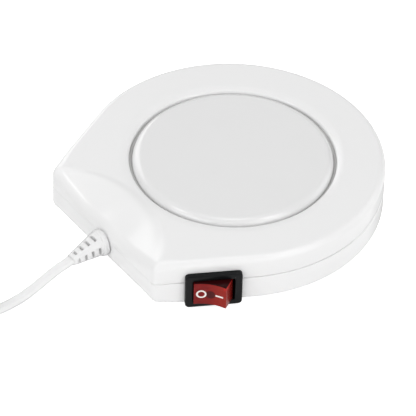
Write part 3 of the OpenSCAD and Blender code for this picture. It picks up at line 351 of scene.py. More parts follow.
def flatTube(route, c):
    # a section of two round cores with a shallow waist, carried along the route and turned with it:
    # half thickness = core circle outside its centre, and a smooth dip between the two centres
    core = c["thickness"] / 2
    offset = c["width"] / 2 - core
    t = np.linspace(0, 2 * np.pi, c["section"], endpoint=False)
    across = c["width"] / 2 * np.cos(t)
    beyond = np.clip(np.abs(across) - offset, 0, core)
    dip = c["waist"] * np.clip(1 - (across / offset) ** 2, 0, 1) ** 2
    thick = (np.sqrt(core**2 - beyond**2) - dip) * np.sign(np.sin(t))
    run = np.gradient(route[:, :3], axis=0)
    run /= np.linalg.norm(run, axis=1, keepdims=True)
    side = np.cross([0, 0, 1], run)
    side /= np.linalg.norm(side, axis=1, keepdims=True)
    up = np.cross(run, side)
    turn = np.radians(route[:, 3:])
    wide = side * np.cos(turn) + up * np.sin(turn)
    thin = up * np.cos(turn) - side * np.sin(turn)
    return route[:, None, :3] + wide[:, None] * across[:, None] + thin[:, None] * thick[:, None]


cordControl = np.vstack([np.array(cord["lead"], float), coilRoute(cord), np.array(cord["end"], float)])
cordRoute = smoothRoute(cordControl, 4)
powerCord = makePiece("flatPowerCord", [loft(flatTube(cordRoute, cord))], sharp=80)
dress(powerCord, "whitePvcExtruded")
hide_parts("power_cord", "cord_coil", "plug_lead")
cordLength = np.linalg.norm(np.diff(cordRoute[:, :3], axis=0), axis=1).sum() * mm
print("cord length, metres:", round(float(cordLength), 3))


# Body: the outline in polar form, then both shells

body = {
    "radius": 57.3, "faceX": 59.6, "faceWidth": 66.5, "cornerRadius": 3.0, "leastCorner": 0.6,
    "top": 21.4, "topRound": 2.6, "faceRound": 4.2, "parting": 12.0, "partingGap": 0.2, "faceGap": 0.06,
    "lipEdge": 0.7, "wall": 2.0, "topWall": 1.8, "under": 1.9, "floor": 3.9, "bottomRound": 1.4,
    "faceBottomRound": 4.0, "tongue": 1.2, "opening": 38.95, "lip": 43.0, "lipDrop": 0.75,
    "seamRound": 0.55, "faceSeamRound": 0.05, "underDrop": 0.4, "edgeDrop": 0.2, "hair": 0.05, "lipShare": 0.6,
    "tongueGap": 0.1, "middle": 0.03,
}
# the crease gets wider from the end with y > 0 to the one with y < 0, over "run"; its painted shade fades over
# "fade"
dish = {"x": 80.5, "radius": 39.3, "step": 0.9, "stepWidth": 1.5, "slope": 0.4, "sharpSoft": 0.2, "wideSoft": 0.9,
        "sharpShade": 0.7, "wideShade": 2.2, "run": (-30, 22), "fade": (-31, -18)}
gland = {"y": -1.0, "z": 9.7, "swell": 1.7, "swellWidth": 8.5, "swellRun": (42.0, 59.0), "collar": 5.2,
         "collarLength": 2.5, "reveal": 0.4, "neck": 4.0, "flange": 5.2, "flangeThickness": 2.2,
         "room": (1, -9.5), "gap": 0.05}
wallAngle = math.atan2(body["faceWidth"] / 2, -body["faceX"]) - math.acos(
    body["radius"] / math.hypot(body["faceX"], body["faceWidth"] / 2))


def outlineRadius(angle, inset):
    # distance to the outline moved inwards: the circle in front, then the tangent line, the corner's circle
    # met from inside (b + sqrt(r^2 - |c|^2 + b^2), b = c . direction), and the flat cord face
    corner = np.maximum(body["cornerRadius"] - inset, body["leastCorner"])
    keep = inset + corner
    cx = -body["faceX"] + keep
    cy = (body["radius"] - keep - math.cos(wallAngle) * cx) / math.sin(wallAngle)
    a = np.abs(angle)
    first = np.arctan2(cy + corner * math.sin(wallAngle), cx + corner * math.cos(wallAngle))
    second = np.arctan2(cy, cx - corner)
    b = cx * np.cos(a) + cy * np.sin(a)
    onCorner = b + np.sqrt(np.maximum(corner**2 - cx**2 - cy**2 + b**2, 0))
    onLine = (body["radius"] - inset) / np.cos(np.clip(a - wallAngle, 0, 1.2))
    onFace = (body["faceX"] - inset) / np.maximum(np.abs(np.cos(a)), 0.2)
    beyond = np.where(a < first, onLine, np.where(a < second, onCorner, onFace))
    return np.where(a < wallAngle, body["radius"] - inset, beyond)


def spreadAngles(count):
    # even steps, then crowded by bells, exp(-(distance / width)^2), at the two corners and round the gland
    fine = np.linspace(-np.pi, np.pi, 20001)
    cornerAngle = math.atan2(body["faceWidth"] / 2, -body["faceX"])
    density = 1 + 1.2 * (np.abs(fine) > wallAngle) + 9 * np.exp(-((np.abs(fine) - cornerAngle) / 0.05) ** 2)
    density = density + 1.5 * np.exp(-((np.pi - np.abs(fine)) / 0.16) ** 2)
    share = np.cumsum(density)
    return np.interp((np.arange(count) + 0.5) / count * share[-1], share, fine)


def soft(value, width):
    # a ramp with a rounded start: w log(1 + exp(v / w))
    return width * np.logaddexp(0, value / width)


def smoothStep(value, low, high):
    # 3 t^2 - 2 t^3 of the value's share between low and high
    t = np.clip((value - low) / (high - low), 0, 1)
    return t * t * (3 - 2 * t)


def creaseWidth(y, sharp, wide):
    # sharp where y > 0 ends, wide where y < 0 ends, with a smooth step between
    return sharp + (wide - sharp) * smoothStep(-y, *dish["run"])


def topHeight(x, y):
    # flat, less the dish: a steep band inside the crease, then a steady fall outwards; over the gland the face's
    # edge swells by a bell, exp(-((y - gland) / width)^2), that dies out inwards
    inside = dish["radius"] - np.hypot(x + dish["x"], y)
    steep = dish["step"] / dish["stepWidth"]
    width = creaseWidth(y, dish["sharpSoft"], dish["wideSoft"])
    fall = steep * soft(inside - 0.5 * width, width)
    fall = fall - (steep - dish["slope"]) * soft(inside - 0.5 * width - dish["stepWidth"], width)
    height = body["top"] - fall
    swell = np.exp(-((y - gland["y"]) / gland["swellWidth"]) ** 2)
    return height + gland["swell"] * swell * smoothStep(-x, *gland["swellRun"])


def atFace(angle):
    # 1 on the cord face, 0 on the round part, with an even change across each corner
    return smoothStep(np.abs(angle), math.radians(140), math.radians(156))


def between(low, high, angle):
    # low on the round part, high on the cord face, in proportion across each corner
    return low + (high - low) * atFace(angle)


def roundTurn(angle, z):
    # how far the edge's quarter circle has turned when it comes down to z: cos = 1 - drop / radius
    radius = outlineRadius(angle, 0 * angle)
    drop = topHeight(radius * np.cos(angle), radius * np.sin(angle)) - z
    return np.arccos(1 - np.clip(drop / between(body["topRound"], body["faceRound"], angle), 0, 1))


def shellPoint(angle, radius, z):
    # x = r cos a, y = r sin a, with all three brought to one shape
    shape = np.broadcast(angle, radius, z).shape
    return np.stack([np.broadcast_to(v, shape) for v in (radius * np.cos(angle), radius * np.sin(angle), z)], -1)


def topShell(angle):
    # one closed profile carried round: lip, top, rounded edge, wall, seam, inner wall and the underside
    b, rows = body, []
    a = angle[None, :]

    def lip(radius):
        # the top sinks towards the opening, by the square of the share of the way in from the lip's start
        return b["lipDrop"] * np.clip(1 - (radius - b["opening"]) / (b["lip"] - b["opening"]), 0, 1) ** 2

    def above(radius):
        return topHeight(radius * np.cos(a), radius * np.sin(a)) - lip(radius)

    turn = np.radians(np.linspace(0, 90, 6))[:, None]
    radius = b["opening"] + b["lipEdge"] * (1 - np.cos(turn)) + 0 * a
    rows.append((radius, above(radius) - b["lipEdge"] * (1 - np.sin(turn))))
    big, small = between(b["topRound"], b["faceRound"], a), between(b["seamRound"], b["faceSeamRound"], a)
    t = np.linspace(0, 1, 86)[1:, None]
    inner, outer = b["opening"] + b["lipEdge"], outlineRadius(a, big)
    radius = inner + (outer - inner) * t
    rows.append((radius, above(radius)))
    seam = b["parting"] + between(b["partingGap"], b["faceGap"], a) / 2
    last = roundTurn(a, seam + small + b["hair"])
    turn = last * np.linspace(0, 1, 13)[1:, None]
    radius = outlineRadius(a, big * (1 - np.sin(turn)))
    rows.append((radius, above(radius) - big * (1 - np.cos(turn))))
    edge, left = rows[-1][1][-1:], big * (1 - np.sin(last))
    t = np.linspace(0, 1, 5)[1:, None]
    rows.append((outlineRadius(a, left + 0 * t), edge + (seam + small - edge) * t))
    turn = np.radians(np.linspace(0, 90, 4))[1:, None]
    rows.append((outlineRadius(a, left + small * (1 - np.cos(turn))), seam + small * (1 - np.sin(turn))))
    rim = [(b["wall"] / 2, seam), (b["wall"] / 2, seam + b["tongue"]), (b["wall"], seam + b["tongue"])]
    for inset, z in rim:
        rows.append((outlineRadius(a, np.array([[inset]])), z + 0 * a))
    radius = outlineRadius(a, np.array([[b["wall"]]]))
    under = np.minimum(above(radius) - b["topWall"] - b["underDrop"], edge - b["edgeDrop"])
    least = seam + b["tongue"] + b["hair"]
    rows.append((radius, np.maximum(under, least)))
    t = np.linspace(0, 1, 14)[1:, None]
    radius = radius + (b["opening"] - radius) * t
    under = above(radius) - b["topWall"] - b["underDrop"] * (1 - t) + lip(radius) * b["lipShare"]
    rows.append((radius, np.maximum(under, least)))
    return np.vstack([shellPoint(a, r, z) for r, z in rows])


def bottomShell(angle):
    # one profile carried round: underside, rounded edge, wall, seam, tongue, inner wall and floor
    b, rows = body, []
    a = angle[None, :]
    seam = b["parting"] - between(b["partingGap"], b["faceGap"], a) / 2
    small, big = between(b["seamRound"], b["faceSeamRound"], a), between(b["topRound"], b["faceRound"], a)
    foot = between(b["bottomRound"], b["faceBottomRound"], a)
    t = np.linspace(b["middle"], 1, 8)[:, None]
    rows.append((outlineRadius(a, foot) * t, b["under"] + 0 * a * t))
    turn = np.radians(np.linspace(0, 90, 9))[1:, None]
    rows.append((outlineRadius(a, foot * (1 - np.sin(turn))), b["under"] + foot * (1 - np.cos(turn))))
    t = np.linspace(0, 1, 10)[1:, None]
    low = b["under"] + foot
    z = low + (seam - small - low) * t
    left = big * (1 - np.sin(roundTurn(a, z)))
    rows.append((outlineRadius(a, left), z))
    turn = np.radians(np.linspace(0, 90, 4))[1:, None]
    rows.append((outlineRadius(a, left[-1:] + small * (1 - np.cos(turn))), seam - small * (1 - np.sin(turn))))
    tongue, over = b["wall"] / 2 + b["tongueGap"], b["parting"] + b["tongue"]
    rim = [(tongue, seam), (tongue, over), (b["wall"], over), (b["wall"], b["floor"])]
    for inset, z in rim:
        rows.append((outlineRadius(a, np.array([[inset]])), z + 0 * a))
    t = np.linspace(1, b["middle"], 6)[1:, None]
    rows.append((outlineRadius(a, b["wall"]) * t, b["floor"] + 0 * a * t))
    return np.vstack([shellPoint(a, r, z) for r, z in rows])


# Switch frame: x along the wall, y inwards, z up

switch = {
    "along": 21.9, "z": 8.9, "length": 21.0, "height": 15.0, "proud": 2.0, "cornerRadius": 1.6, "edge": 0.6,
    "bodyLength": 18.8, "bodyHeight": 12.9, "bodyDepth": 12.5, "wellLength": 15.4, "wellHeight": 10.2,
    "wellBack": 11.3, "wellStep": 4, "wellEdge": 0.25, "wellCorner": 0.5, "bodyCorner": 0.6, "least": 0.2,
    "room": [(-9.6, -3, -6.55), (9.6, 12.9, 6.55)],
}
rocker = {
    "valley": 4.85, "crest": 6.0, "half": 6.0, "skirt": 7.2, "skirtAngle": 24, "width": 9.8, "tilt": 19,
    "pivotY": 0.65, "edge": 0.3, "pin": 1.2, "pinStart": 4.6, "pinEnd": 5.8,
    "faceEnd": 0.25, "crestAt": (0.28, 0.36), "crestRound": 0.32, "crestArc": (-62, -8), "back": (5.2, 2.6, 0),
}
wallTurn = math.radians(90) - wallAngle


def onWall(points):
    # turns a point of the switch about the upright axis and moves it to its place along the wall
    c, s = math.cos(wallTurn), math.sin(wallTurn)
    x, y, z = points[..., 0] + switch["along"], points[..., 1], points[..., 2]
    return np.stack([-body["faceX"] + x * c - y * s, -body["faceWidth"] / 2 + x * s + y * c, switch["z"] + z], -1)


def onRocker(points):
    # tilts a point of the rocker about its pivot to where it rests
    c, s = math.cos(math.radians(-rocker["tilt"])), math.sin(math.radians(-rocker["tilt"]))
    x, y = points[..., 0], points[..., 1]
    return onWall(np.stack([x * c - y * s, rocker["pivotY"] + x * s + y * c, points[..., 2]], -1))


def switchFrame(s):
    # rounded rectangles stacked along the depth: well floor, well wall, bezel face, its edge and the body
    half = (s["length"] / 2, s["height"] / 2)
    well = (s["wellLength"] / 2, s["wellHeight"] / 2)
    back = (s["bodyLength"] / 2, s["bodyHeight"] / 2)
    front, corner = -s["proud"], s["wellCorner"]
    stack = [(well, 0, corner, depth) for depth in (s["wellBack"], s["wellStep"], front + s["wellEdge"])]
    stack += [(well, -s["wellEdge"] * (1 - math.cos(q)), corner, front + s["wellEdge"] * (1 - math.sin(q)))
              for q in np.radians([30, 60, 90])]
    stack += [(half, s["edge"] * (1 - math.sin(q)), s["cornerRadius"], front + s["edge"] * (1 - math.cos(q)))
              for q in np.radians([0, 18, 36, 54, 72, 90])]
    stack += [(half, 0, s["cornerRadius"], 0), (back, 0, s["bodyCorner"], 0),
              (back, 0, s["bodyCorner"], s["bodyDepth"])]
    rows = []
    for (w, h), inset, radius, depth in stack:
        loop = roundedLoop(w - inset, h - inset, max(radius - inset, s["least"]))
        rows.append(np.stack([loop[:, 0], np.full(len(loop), depth), loop[:, 1]], -1))
    return onWall(np.array(rows))


def faceY(x):
    # depth of the rocker's hollow face: a parabola from the valley in the middle to the crest at each end
    return -rocker["valley"] - (rocker["crest"] - rocker["valley"]) * (x / rocker["half"]) ** 2


def rockerSection(r, inset):
    # half of the side outline: hollow face, rounded crest, straight end face to the skirt's circle about the
    # pivot, then a flat back; mirrored for the other half
    x = np.linspace(0, r["half"] - r["faceEnd"], 26)
    face = np.stack([x, faceY(x)], -1)
    crest = arc((r["half"] - r["crestAt"][0], -r["crest"] + r["crestAt"][1]), r["crestRound"], *r["crestArc"], 5)
    skirt = arc((0, 0), r["skirt"], 0, r["skirtAngle"], 5)
    back = np.array([[x, skirt[-1, 1]] for x in r["back"]])
    right = np.vstack([face, crest, skirt, back])
    loop = np.vstack([right, right[-2:0:-1] * (-1, 1)])
    run = np.roll(loop, -1, 0) - np.roll(loop, 1, 0)
    normal = np.stack([-run[:, 1], run[:, 0]], -1) / np.linalg.norm(run, axis=1, keepdims=True)
    return loop + normal * inset


def rockerBody(r):
    # the section carried across the width, drawn in by a quarter circle at both sides
    turn = np.radians(np.linspace(0, 90, 5))
    flat = np.linspace(-1, 1, 61)[1:-1] * (r["width"] / 2 - r["edge"])
    left = [(-r["width"] / 2 + r["edge"] * (1 - math.sin(q)), r["edge"] * (1 - math.cos(q))) for q in turn[::-1]]
    stack = left + [(z, 0) for z in flat] + [(-z, i) for z, i in left[::-1]]
    rows = [np.concatenate([rockerSection(r, i), np.full((len(rockerSection(r, i)), 1), z)], 1) for z, i in stack]
    return onRocker(np.array(rows))


mark = {"proud": 0.03, "sunk": 0.15, "width": 0.62, "barWidth": 0.7}


def ringMark(x, z, radius):
    # a flat ring laid on the hollow face: outer and inner circles, a hair above and below the face
    a = np.linspace(0, 2 * np.pi, 48, endpoint=False)
    inner, high, low = radius - mark["width"], mark["proud"], -mark["sunk"]
    rows = []
    for r, y in ((radius, high), (inner, high), (inner, low), (radius, low)):
        px = x + r * np.cos(a)
        rows.append(np.stack([px, faceY(px) - y, z + r * np.sin(a)], -1))
    return onRocker(np.array(rows))


def barMark(start, end, z):
    # a bar laid on the hollow face, in short lengths so that it follows the curve
    x = np.linspace(start, end, 12)
    loop = np.array([(-1, 1), (1, 1), (1, -1), (-1, -1)])
    y = np.where(loop[:, 1] > 0, mark["proud"], -mark["sunk"])
    return onRocker(np.stack([np.broadcast_to(x[:, None], (12, 4)), faceY(x)[:, None] - y[None, :],
                              z + np.broadcast_to(loop[:, 0] * mark["barWidth"] / 2, (12, 4))], -1))


def box(size, centre):
    # six faces, as two rings of four corners
    half = np.array(size) / 2
    loop = np.array([(-1, -1), (1, -1), (1, 1), (-1, 1)])
    rows = [np.concatenate([loop * half[:2], np.full((4, 1), z)], 1) for z in (-half[2], half[2])]
    return loft(np.array(rows) + np.array(centre))


def rod(start, end, radius, steps=48):
    # a round bar between two points, its ring in the plane across its run
    start, end = np.array(start, float), np.array(end, float)
    run = (end - start) / np.linalg.norm(end - start)
    side = np.cross(run, [0.3, 0.5, 0.81])
    side /= np.linalg.norm(side)
    up = np.cross(run, side)
    a = np.linspace(0, 2 * np.pi, steps, endpoint=False)[:, None]
    ring = radius * (side * np.cos(a) + up * np.sin(a))
    return loft(np.array([start + ring, end + ring]))


def wallBox(low, high):
    # a box given by two corners in the switch's own frame
    centre, size = (np.array(low) + np.array(high)) / 2, np.array(high) - np.array(low)
    points, quads, tris = box(size, centre)
    return outward(onWall(points), quads, tris)


def glandRod(start, end, radius):
    # a round bar on the gland's axis, its ends measured outwards from the cord face
    return rod(*((-body["faceX"] - out, gland["y"], gland["z"]) for out in (start, end)), radius)


# what the two shells leave open for the switch and the gland
switchRoom = wallBox(*switch["room"])
glandRoom = glandRod(*gland["room"], gland["neck"] + gland["gap"])


def shadeCrease(piece):
    # painted shade: a soft dark band just inside the dish's crease, exp(-(distance / width)^2), wider towards y < 0
    points = np.empty(len(piece.data.vertices) * 3)
    piece.data.vertices.foreach_get("co", points)
    x, y, z = points.reshape(-1, 3).T / mm
    inside = dish["radius"] - np.hypot(x - plateX + dish["x"], y)
    width = creaseWidth(y, dish["sharpShade"], dish["wideShade"])
    band = np.exp(-((inside - 0.6 * width) / width) ** 2)
    fillAttribute(piece, "shade", band * smoothStep(-np.abs(y), *dish["fade"]) * (z > body["parting"]))


topHousing = makePiece("topHousingShell", [loft(topShell(spreadAngles(420)), closed=True)], sharp=30)
cut(topHousing, [switchRoom], 30)
cut(topHousing, [glandRoom], 30)
shadeCrease(topHousing)
dress(topHousing, "whiteAbsMoulded")
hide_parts("top_housing")
print("top shell:", len(topHousing.data.polygons), "faces")

feet = {"radius": 5.0, "height": 1.9, "seat": 0.8, "edge": 0.5}
underside = {"vent": (16, 1.8, 5), "ventPitch": 5, "ventZ": 2.9, "seat": 5.05, "seatTop": 2.7, "well": 3.1,
             "wellTop": 3.5, "panel": (34, 18, 1.4), "panelAt": (29, 0, 1.6)}
footPlaces = {"foot_front_left": (-47, -20), "foot_back_left": (-47, 20), "foot_front_right": (34, -30),
              "foot_back_right": (34, 30)}
screwPlaces = [(-53.5, 28.5), (-53.5, -28.5), (28.1055, 40.1385), (28.1055, -40.1385)]

bottomHousing = makePiece("bottomHousingShell", [loft(bottomShell(spreadAngles(420)))], sharp=30)
cut(bottomHousing, [switchRoom], 30)
cut(bottomHousing, [glandRoom], 30)
u = underside
hollows = [box(u["vent"], (0, u["ventPitch"] * k, u["ventZ"])) for k in range(-3, 4)]
hollows += [rod((x, y, 1), (x, y, u["seatTop"]), u["seat"], 64) for x, y in footPlaces.values()]
hollows += [rod((x, y, 1), (x, y, u["wellTop"]), u["well"]) for x, y in screwPlaces]
hollows.append(box(u["panel"], u["panelAt"]))
cut(bottomHousing, hollows, 30)
dress(bottomHousing, "whiteAbsMoulded")
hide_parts("bottom_housing")
print("bottom shell:", len(bottomHousing.data.polygons), "faces")


# Plate and seal

plate = {"radius": 37.85, "top": 22.0, "shoulder": 3.2, "drop": 2.8, "under": 20.6, "skirt": 1.9, "flange": 41.5,
         "flangeTop": 18.8, "flangeThickness": 1.0, "stud": 1.5, "studCircle": 29, "studAt": (75, 195, 315),
         "studLow": 14.8, "studHigh": 20.61}


def plateProfile(p):
    # flat top, a quarter ellipse down to the edge, straight side, flange, skirt and underside
    q = np.radians(np.linspace(90, 0, 20))
    edge = np.stack([p["radius"] - p["shoulder"] + p["shoulder"] * np.cos(q),
                     p["top"] - p["drop"] + p["drop"] * np.sin(q)], -1)
    flat = [(r, p["top"]) for r in (0.5, 8, 16, 24, 30, 34)]
    low = p["flangeTop"] - p["flangeThickness"]
    inner = p["radius"] - p["skirt"]
    return flat + edge.tolist() + [(p["radius"], p["flangeTop"]), (p["flange"], p["flangeTop"]), (p["flange"], low),
                                   (inner, low), (inner, p["under"]), (0.5, p["under"])]


studs = [plate["studCircle"] * np.array((math.cos(a), math.sin(a))) for a in np.radians(plate["studAt"])]
heatingPlate = makePiece("heatingPlateDisc", [loft(lathe(plateProfile(plate), steps=240))] + [
    rod((x, y, plate["studLow"]), (x, y, plate["studHigh"]), plate["stud"], 32) for x, y in studs], sharp=35)
dress(heatingPlate, "whiteCoatedAluminium")
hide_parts("heating_plate")

seal = {"inner": 37.95, "outer": 41.0, "step": 39.35, "low": 18.8, "flat": 0.8, "thin": 0.4, "round": 0.2}


def sealProfile(s):
    # flat ring, thinner in the groove beside the plate, with rounded edges
    crown = arc((s["step"] + s["round"], s["low"] + s["flat"] - s["round"]), s["round"], 90, 180, 4)
    inner = arc((s["inner"] + s["round"], s["low"] + s["thin"] - s["round"]), s["round"], 90, 180, 4)
    return [(s["outer"], s["low"]), (s["outer"], s["low"] + s["flat"])] + crown.tolist() + \
        [(s["step"], s["low"] + s["thin"])] + inner.tolist() + [(s["inner"], s["low"])]


plateSeal = makePiece("plateSealRing", [loft(lathe(sealProfile(seal), steps=240), closed=True)], sharp=40)
dress(plateSeal, "siliconeSealMoulded")
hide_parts("plate_seal")
print("plate and seal made")


# Switch and rocker

switchPiece = makePiece("switchBezelFrame", [loft(switchFrame(switch))], sharp=35)
dress(switchPiece, "blackNylonMoulded")
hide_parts("switch_frame")

rockerPiece = makePiece("rockerLens", [loft(rockerBody(rocker))] + [
    outward(onRocker(p), q, t) for p, q, t in [
        rod((0, 0, s * rocker["pinStart"]), (0, 0, s * rocker["pinEnd"]), rocker["pin"], 32) for s in (1, -1)]],
    "rocker_body", sharp=40)


def redLens():
    # red see-through polycarbonate: deep red where the light goes into it, darker over the round post behind, with
    # a brighter raised end as painted light, dark sides and ends as painted shade, and painted glints
    look = {"red": "#8A1E1C", "deep": "#6A1618", "raised": "#93231A", "post": "#3C1214", "side": "#2C0709",
            "glint": "#F0241E"}
    material, tree = emptyMaterial("redPolycarbonateMoulded")
    at = addNode(tree, "TexCoord", {}).outputs["Object"]
    cloud = addNode(tree, "TexNoise", {"Scale": 1 / (2.6 * mm), "Detail": 3}, {"Vector": at})
    grain = addNode(tree, "TexNoise", {"Scale": 1 / (0.3 * mm), "Detail": 2}, {"Vector": at})
    base = addNode(tree, "Mix", {"data_type": "RGBA", 6: linear(look["red"]), 7: linear(look["deep"])},
                   {0: cloud.outputs["Fac"]})
    for name in ("raised", "post", "side", "glint"):
        share = addNode(tree, "Attribute", {"attribute_name": name})
        base = addNode(tree, "Mix", {"data_type": "RGBA", 7: linear(look[name])},
                       {0: share.outputs["Fac"], 6: base.outputs[2]})
    bump = addNode(tree, "Bump", {"Strength": 1, "Distance": 0.003 * mm}, {"Height": grain.outputs["Fac"]})
    shader = addNode(tree, "BsdfPrincipled", {"Roughness": 0.2, "IOR": 1.58, "Specular IOR Level": 0.1}, {
        "Base Color": base.outputs[2], "Normal": bump.outputs["Normal"]})
    addNode(tree, "OutputMaterial", {}, {"Surface": shader.outputs["BSDF"]})
    return material


# where the raised end's painted light starts and ends, and the painted glints (z, y, size)
lens = {"front": -4.2, "post": 2.0, "postSoft": 0.35, "share": 0.85, "raised": (-2.5, 5), "glintFrom": 5,
        "glints": [(4.4, -5.0, 0.7), (-1.2, -1.6, 0.8)]}


def markLens(piece, rows):
    # shares of the colours: the round post that shows through, the paler raised end (painted light), the dark sides
    # and ends (painted shade), and two painted glints (z, y, size) where light leaves the raised end,
    # exp(-(distance / size)^2)
    count = rows.shape[0] * rows.shape[1]
    section = rockerSection(rocker, 0)
    x = np.tile(section[:, 0], rows.shape[0])
    y = np.tile(section[:, 1], rows.shape[0])
    z = rows[:, :, 2].reshape(-1) - switch["z"]
    front, away = y < lens["front"], np.hypot(x, z)
    flank = np.abs(z) > rocker["width"] / 2 - 0.2 * rocker["edge"]
    glint = sum(np.exp(-(np.hypot(z - gz, y - gy) / size) ** 2) for gz, gy, size in lens["glints"])
    post = np.clip((lens["post"] - away) / lens["postSoft"], 0, 1) * front * lens["share"]
    shares = {"post": post, "raised": smoothStep(x, *lens["raised"]),
              "side": np.maximum(flank, ~front * lens["share"]), "glint": glint * (x > lens["glintFrom"]) * ~flank}
    for name, share in shares.items():
        values = np.full(len(piece.data.vertices), float(name == "side"))
        values[:count] = share
        fillAttribute(piece, name, values)


markLens(rockerPiece, rockerBody(rocker))
materials["redPolycarbonateMoulded"] = redLens()
dress(rockerPiece, "redPolycarbonateMoulded")
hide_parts("rocker")

offMark = makePiece("rockerOffMark", [loft(ringMark(-3.3, 0, 1.85), closed=True)], "rocker_body")
onMark = makePiece("rockerOnMark", [loft(barMark(1.9, 4.8, 0))], "rocker_body")
for piece in (offMark, onMark):
    dress(piece, "whiteInkPrinted")
print("switch made")


# Strain relief: collar, neck and flange on the gland's axis, then the slotted taper

relief = {"root": 4.7, "tip": 2.3, "length": 12.6, "droop": 4, "sway": 5, "rings": 4, "pitch": 2.9, "slot": 1.0,
          "start": 1.4, "spine": 21, "depth": 0.52, "sunk": 0.5, "edge": 0.4,
          # a slot's two edges: how far each of its rings lies from the edge, and what share of the depth it has
          "lowEdge": (-0.12, 0, 0.1), "highEdge": (-0.1, 0, 0.12), "share": (0, 0.06, 1, 1, 0.06, 0),
          "tipAt": (0.5, 0.2, 0.05, 0), "tipRound": (0, 0.06, 0.2, 0.45)}


def reliefCollar(g):
    # turned about the gland's axis: inner flange, neck and a collar with rounded edges
    c, e = g["collar"], relief["edge"]
    back = -body["wall"] - g["flangeThickness"]
    crown = arc((g["collarLength"] - 2 * e, c - 2 * e), 2 * e, 90, 0, 6)
    heel = arc((g["reveal"] + e * 0.6, c - e * 0.6), e * 0.6, 180, 90, 4)
    profile = [(back, 0.4), (back, g["flange"]), (-body["wall"], g["flange"]), (-body["wall"], g["neck"]),
               (g["reveal"], g["neck"])] + heel.tolist() + crown.tolist() + [(g["collarLength"], 0.4)]
    a = np.linspace(0, 2 * np.pi, 72, endpoint=False)
    along, radius = np.array(profile)[:, 0, None], np.array(profile)[:, 1, None]
    return np.stack([-body["faceX"] - along + 0 * a, g["y"] + radius * np.cos(a), g["z"] + radius * np.sin(a)], -1)


def reliefTaper(s):
    # a round taper on a drooping axis; in each ring of slots the radius falls to the core's, except within
    # the spine's half angle of 45, 135, 225 and 315 degrees
    a = np.linspace(0, 2 * np.pi, 144, endpoint=False)
    fromSpine = np.abs(np.degrees(a) % 90 - 45)
    openHere = smoothStep(fromSpine, s["spine"] - 1, s["spine"] + 1)[None, :]
    starts = s["start"] + s["pitch"] * np.arange(s["rings"])
    low, high = starts[:, None] + [s["lowEdge"]], starts[:, None] + s["slot"] + [s["highEdge"]]
    along = np.concatenate([[-s["sunk"]], np.hstack([low, high]).ravel(), s["length"] - np.array(s["tipAt"])])
    cutHere = np.concatenate([[0], np.tile(s["share"], s["rings"]), [0] * len(s["tipAt"])])[:, None]
    radius = s["root"] + (s["tip"] - s["root"]) * along / s["length"]
    radius[-len(s["tipRound"]):] -= s["tipRound"]
    radius = radius[:, None] * (1 - (1 - s["depth"]) * cutHere * openHere)
    up, side = radius * np.sin(a), radius * np.cos(a)
    d, w = math.radians(s["droop"]), math.radians(s["sway"])
    axis = np.array([-math.cos(d) * math.cos(w), -math.cos(d) * math.sin(w), -math.sin(d)])
    across = np.cross(axis, [0, 0, 1])
    across /= np.linalg.norm(across)
    over = np.cross(across, axis)
    start = np.array([-body["faceX"] - gland["collarLength"], gland["y"], gland["z"]])
    return start + along[:, None, None] * axis + side[..., None] * across + up[..., None] * over


reliefPiece = makePiece("strainReliefBoot", [loft(reliefCollar(gland)), loft(reliefTaper(relief))], sharp=35)
dress(reliefPiece, "whitePvcMoulded")
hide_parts("strain_relief")
print("strain relief made")


# Feet, plug and tie

for node, (x, y) in footPlaces.items():
    f = feet
    profile = [(0.4, 0), (f["radius"] - f["edge"], 0)] + arc(
        (f["radius"] - f["edge"], f["edge"]), f["edge"], -90, 0, 5)[1:].tolist()
    profile += [(f["radius"], f["height"] + f["seat"]), (0.4, f["height"] + f["seat"])]
    foot = makePiece(node.replace("_", "") + "Pad", [loft(lathe(profile, (x, y), 72))])
    dress(foot, "greyRubberMoulded")
    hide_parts(node)

plug = {"x": -157.0, "y": 46.0, "z": 6.8, "corner": 0.02, "reliefLength": 12.0,
        # distance along, half width, half height and corner radius; the grip's distances start at the relief's end
        "relief": [(0, 3.2, 3.2, 3.2), (6, 3.9, 3.9, 3.9), (12, 4.6, 4.6, 4.6)],
        "grip": [(1.5, 4.8, 5.4, 4.2), (5, 6.2, 6.2, 4.4), (10, 8.6, 6.6, 4.4), (15, 11.0, 6.7, 4.2),
                 (20, 12.7, 6.8, 3.8), (26, 13.0, 6.8, 3.4), (32.6, 13.0, 6.8, 3.2), (33.5, 12.7, 6.5, 3.0),
                 (34.0, 12.0, 5.8, 2.6)]}


def plugShape(p):
    # rounded rectangles along the plug: a round boot, then a widening grip and a full body with a soft end
    rows = []
    for along, w, h, radius in p["relief"] + [(p["reliefLength"] + y, *size) for y, *size in p["grip"]]:
        loop = roundedLoop(w, h, min(radius, h - p["corner"], w - p["corner"]), 8)
        rows.append(np.stack([p["x"] + loop[:, 0], np.full(len(loop), p["y"] + along), p["z"] + loop[:, 1]], -1))
    return np.array(rows)


plugBody = makePiece("plugBodyGrip", [loft(plugShape(plug))], sharp=50)
dress(plugBody, "whitePvcMoulded")
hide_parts("plug_body")

tie = {"inner": 19.6, "outer": 30.7, "top": 9.0, "thickness": 0.55, "width": 3.6, "round": 1.2, "turn": 45,
       "lift": 0.02, "least": 0.08}


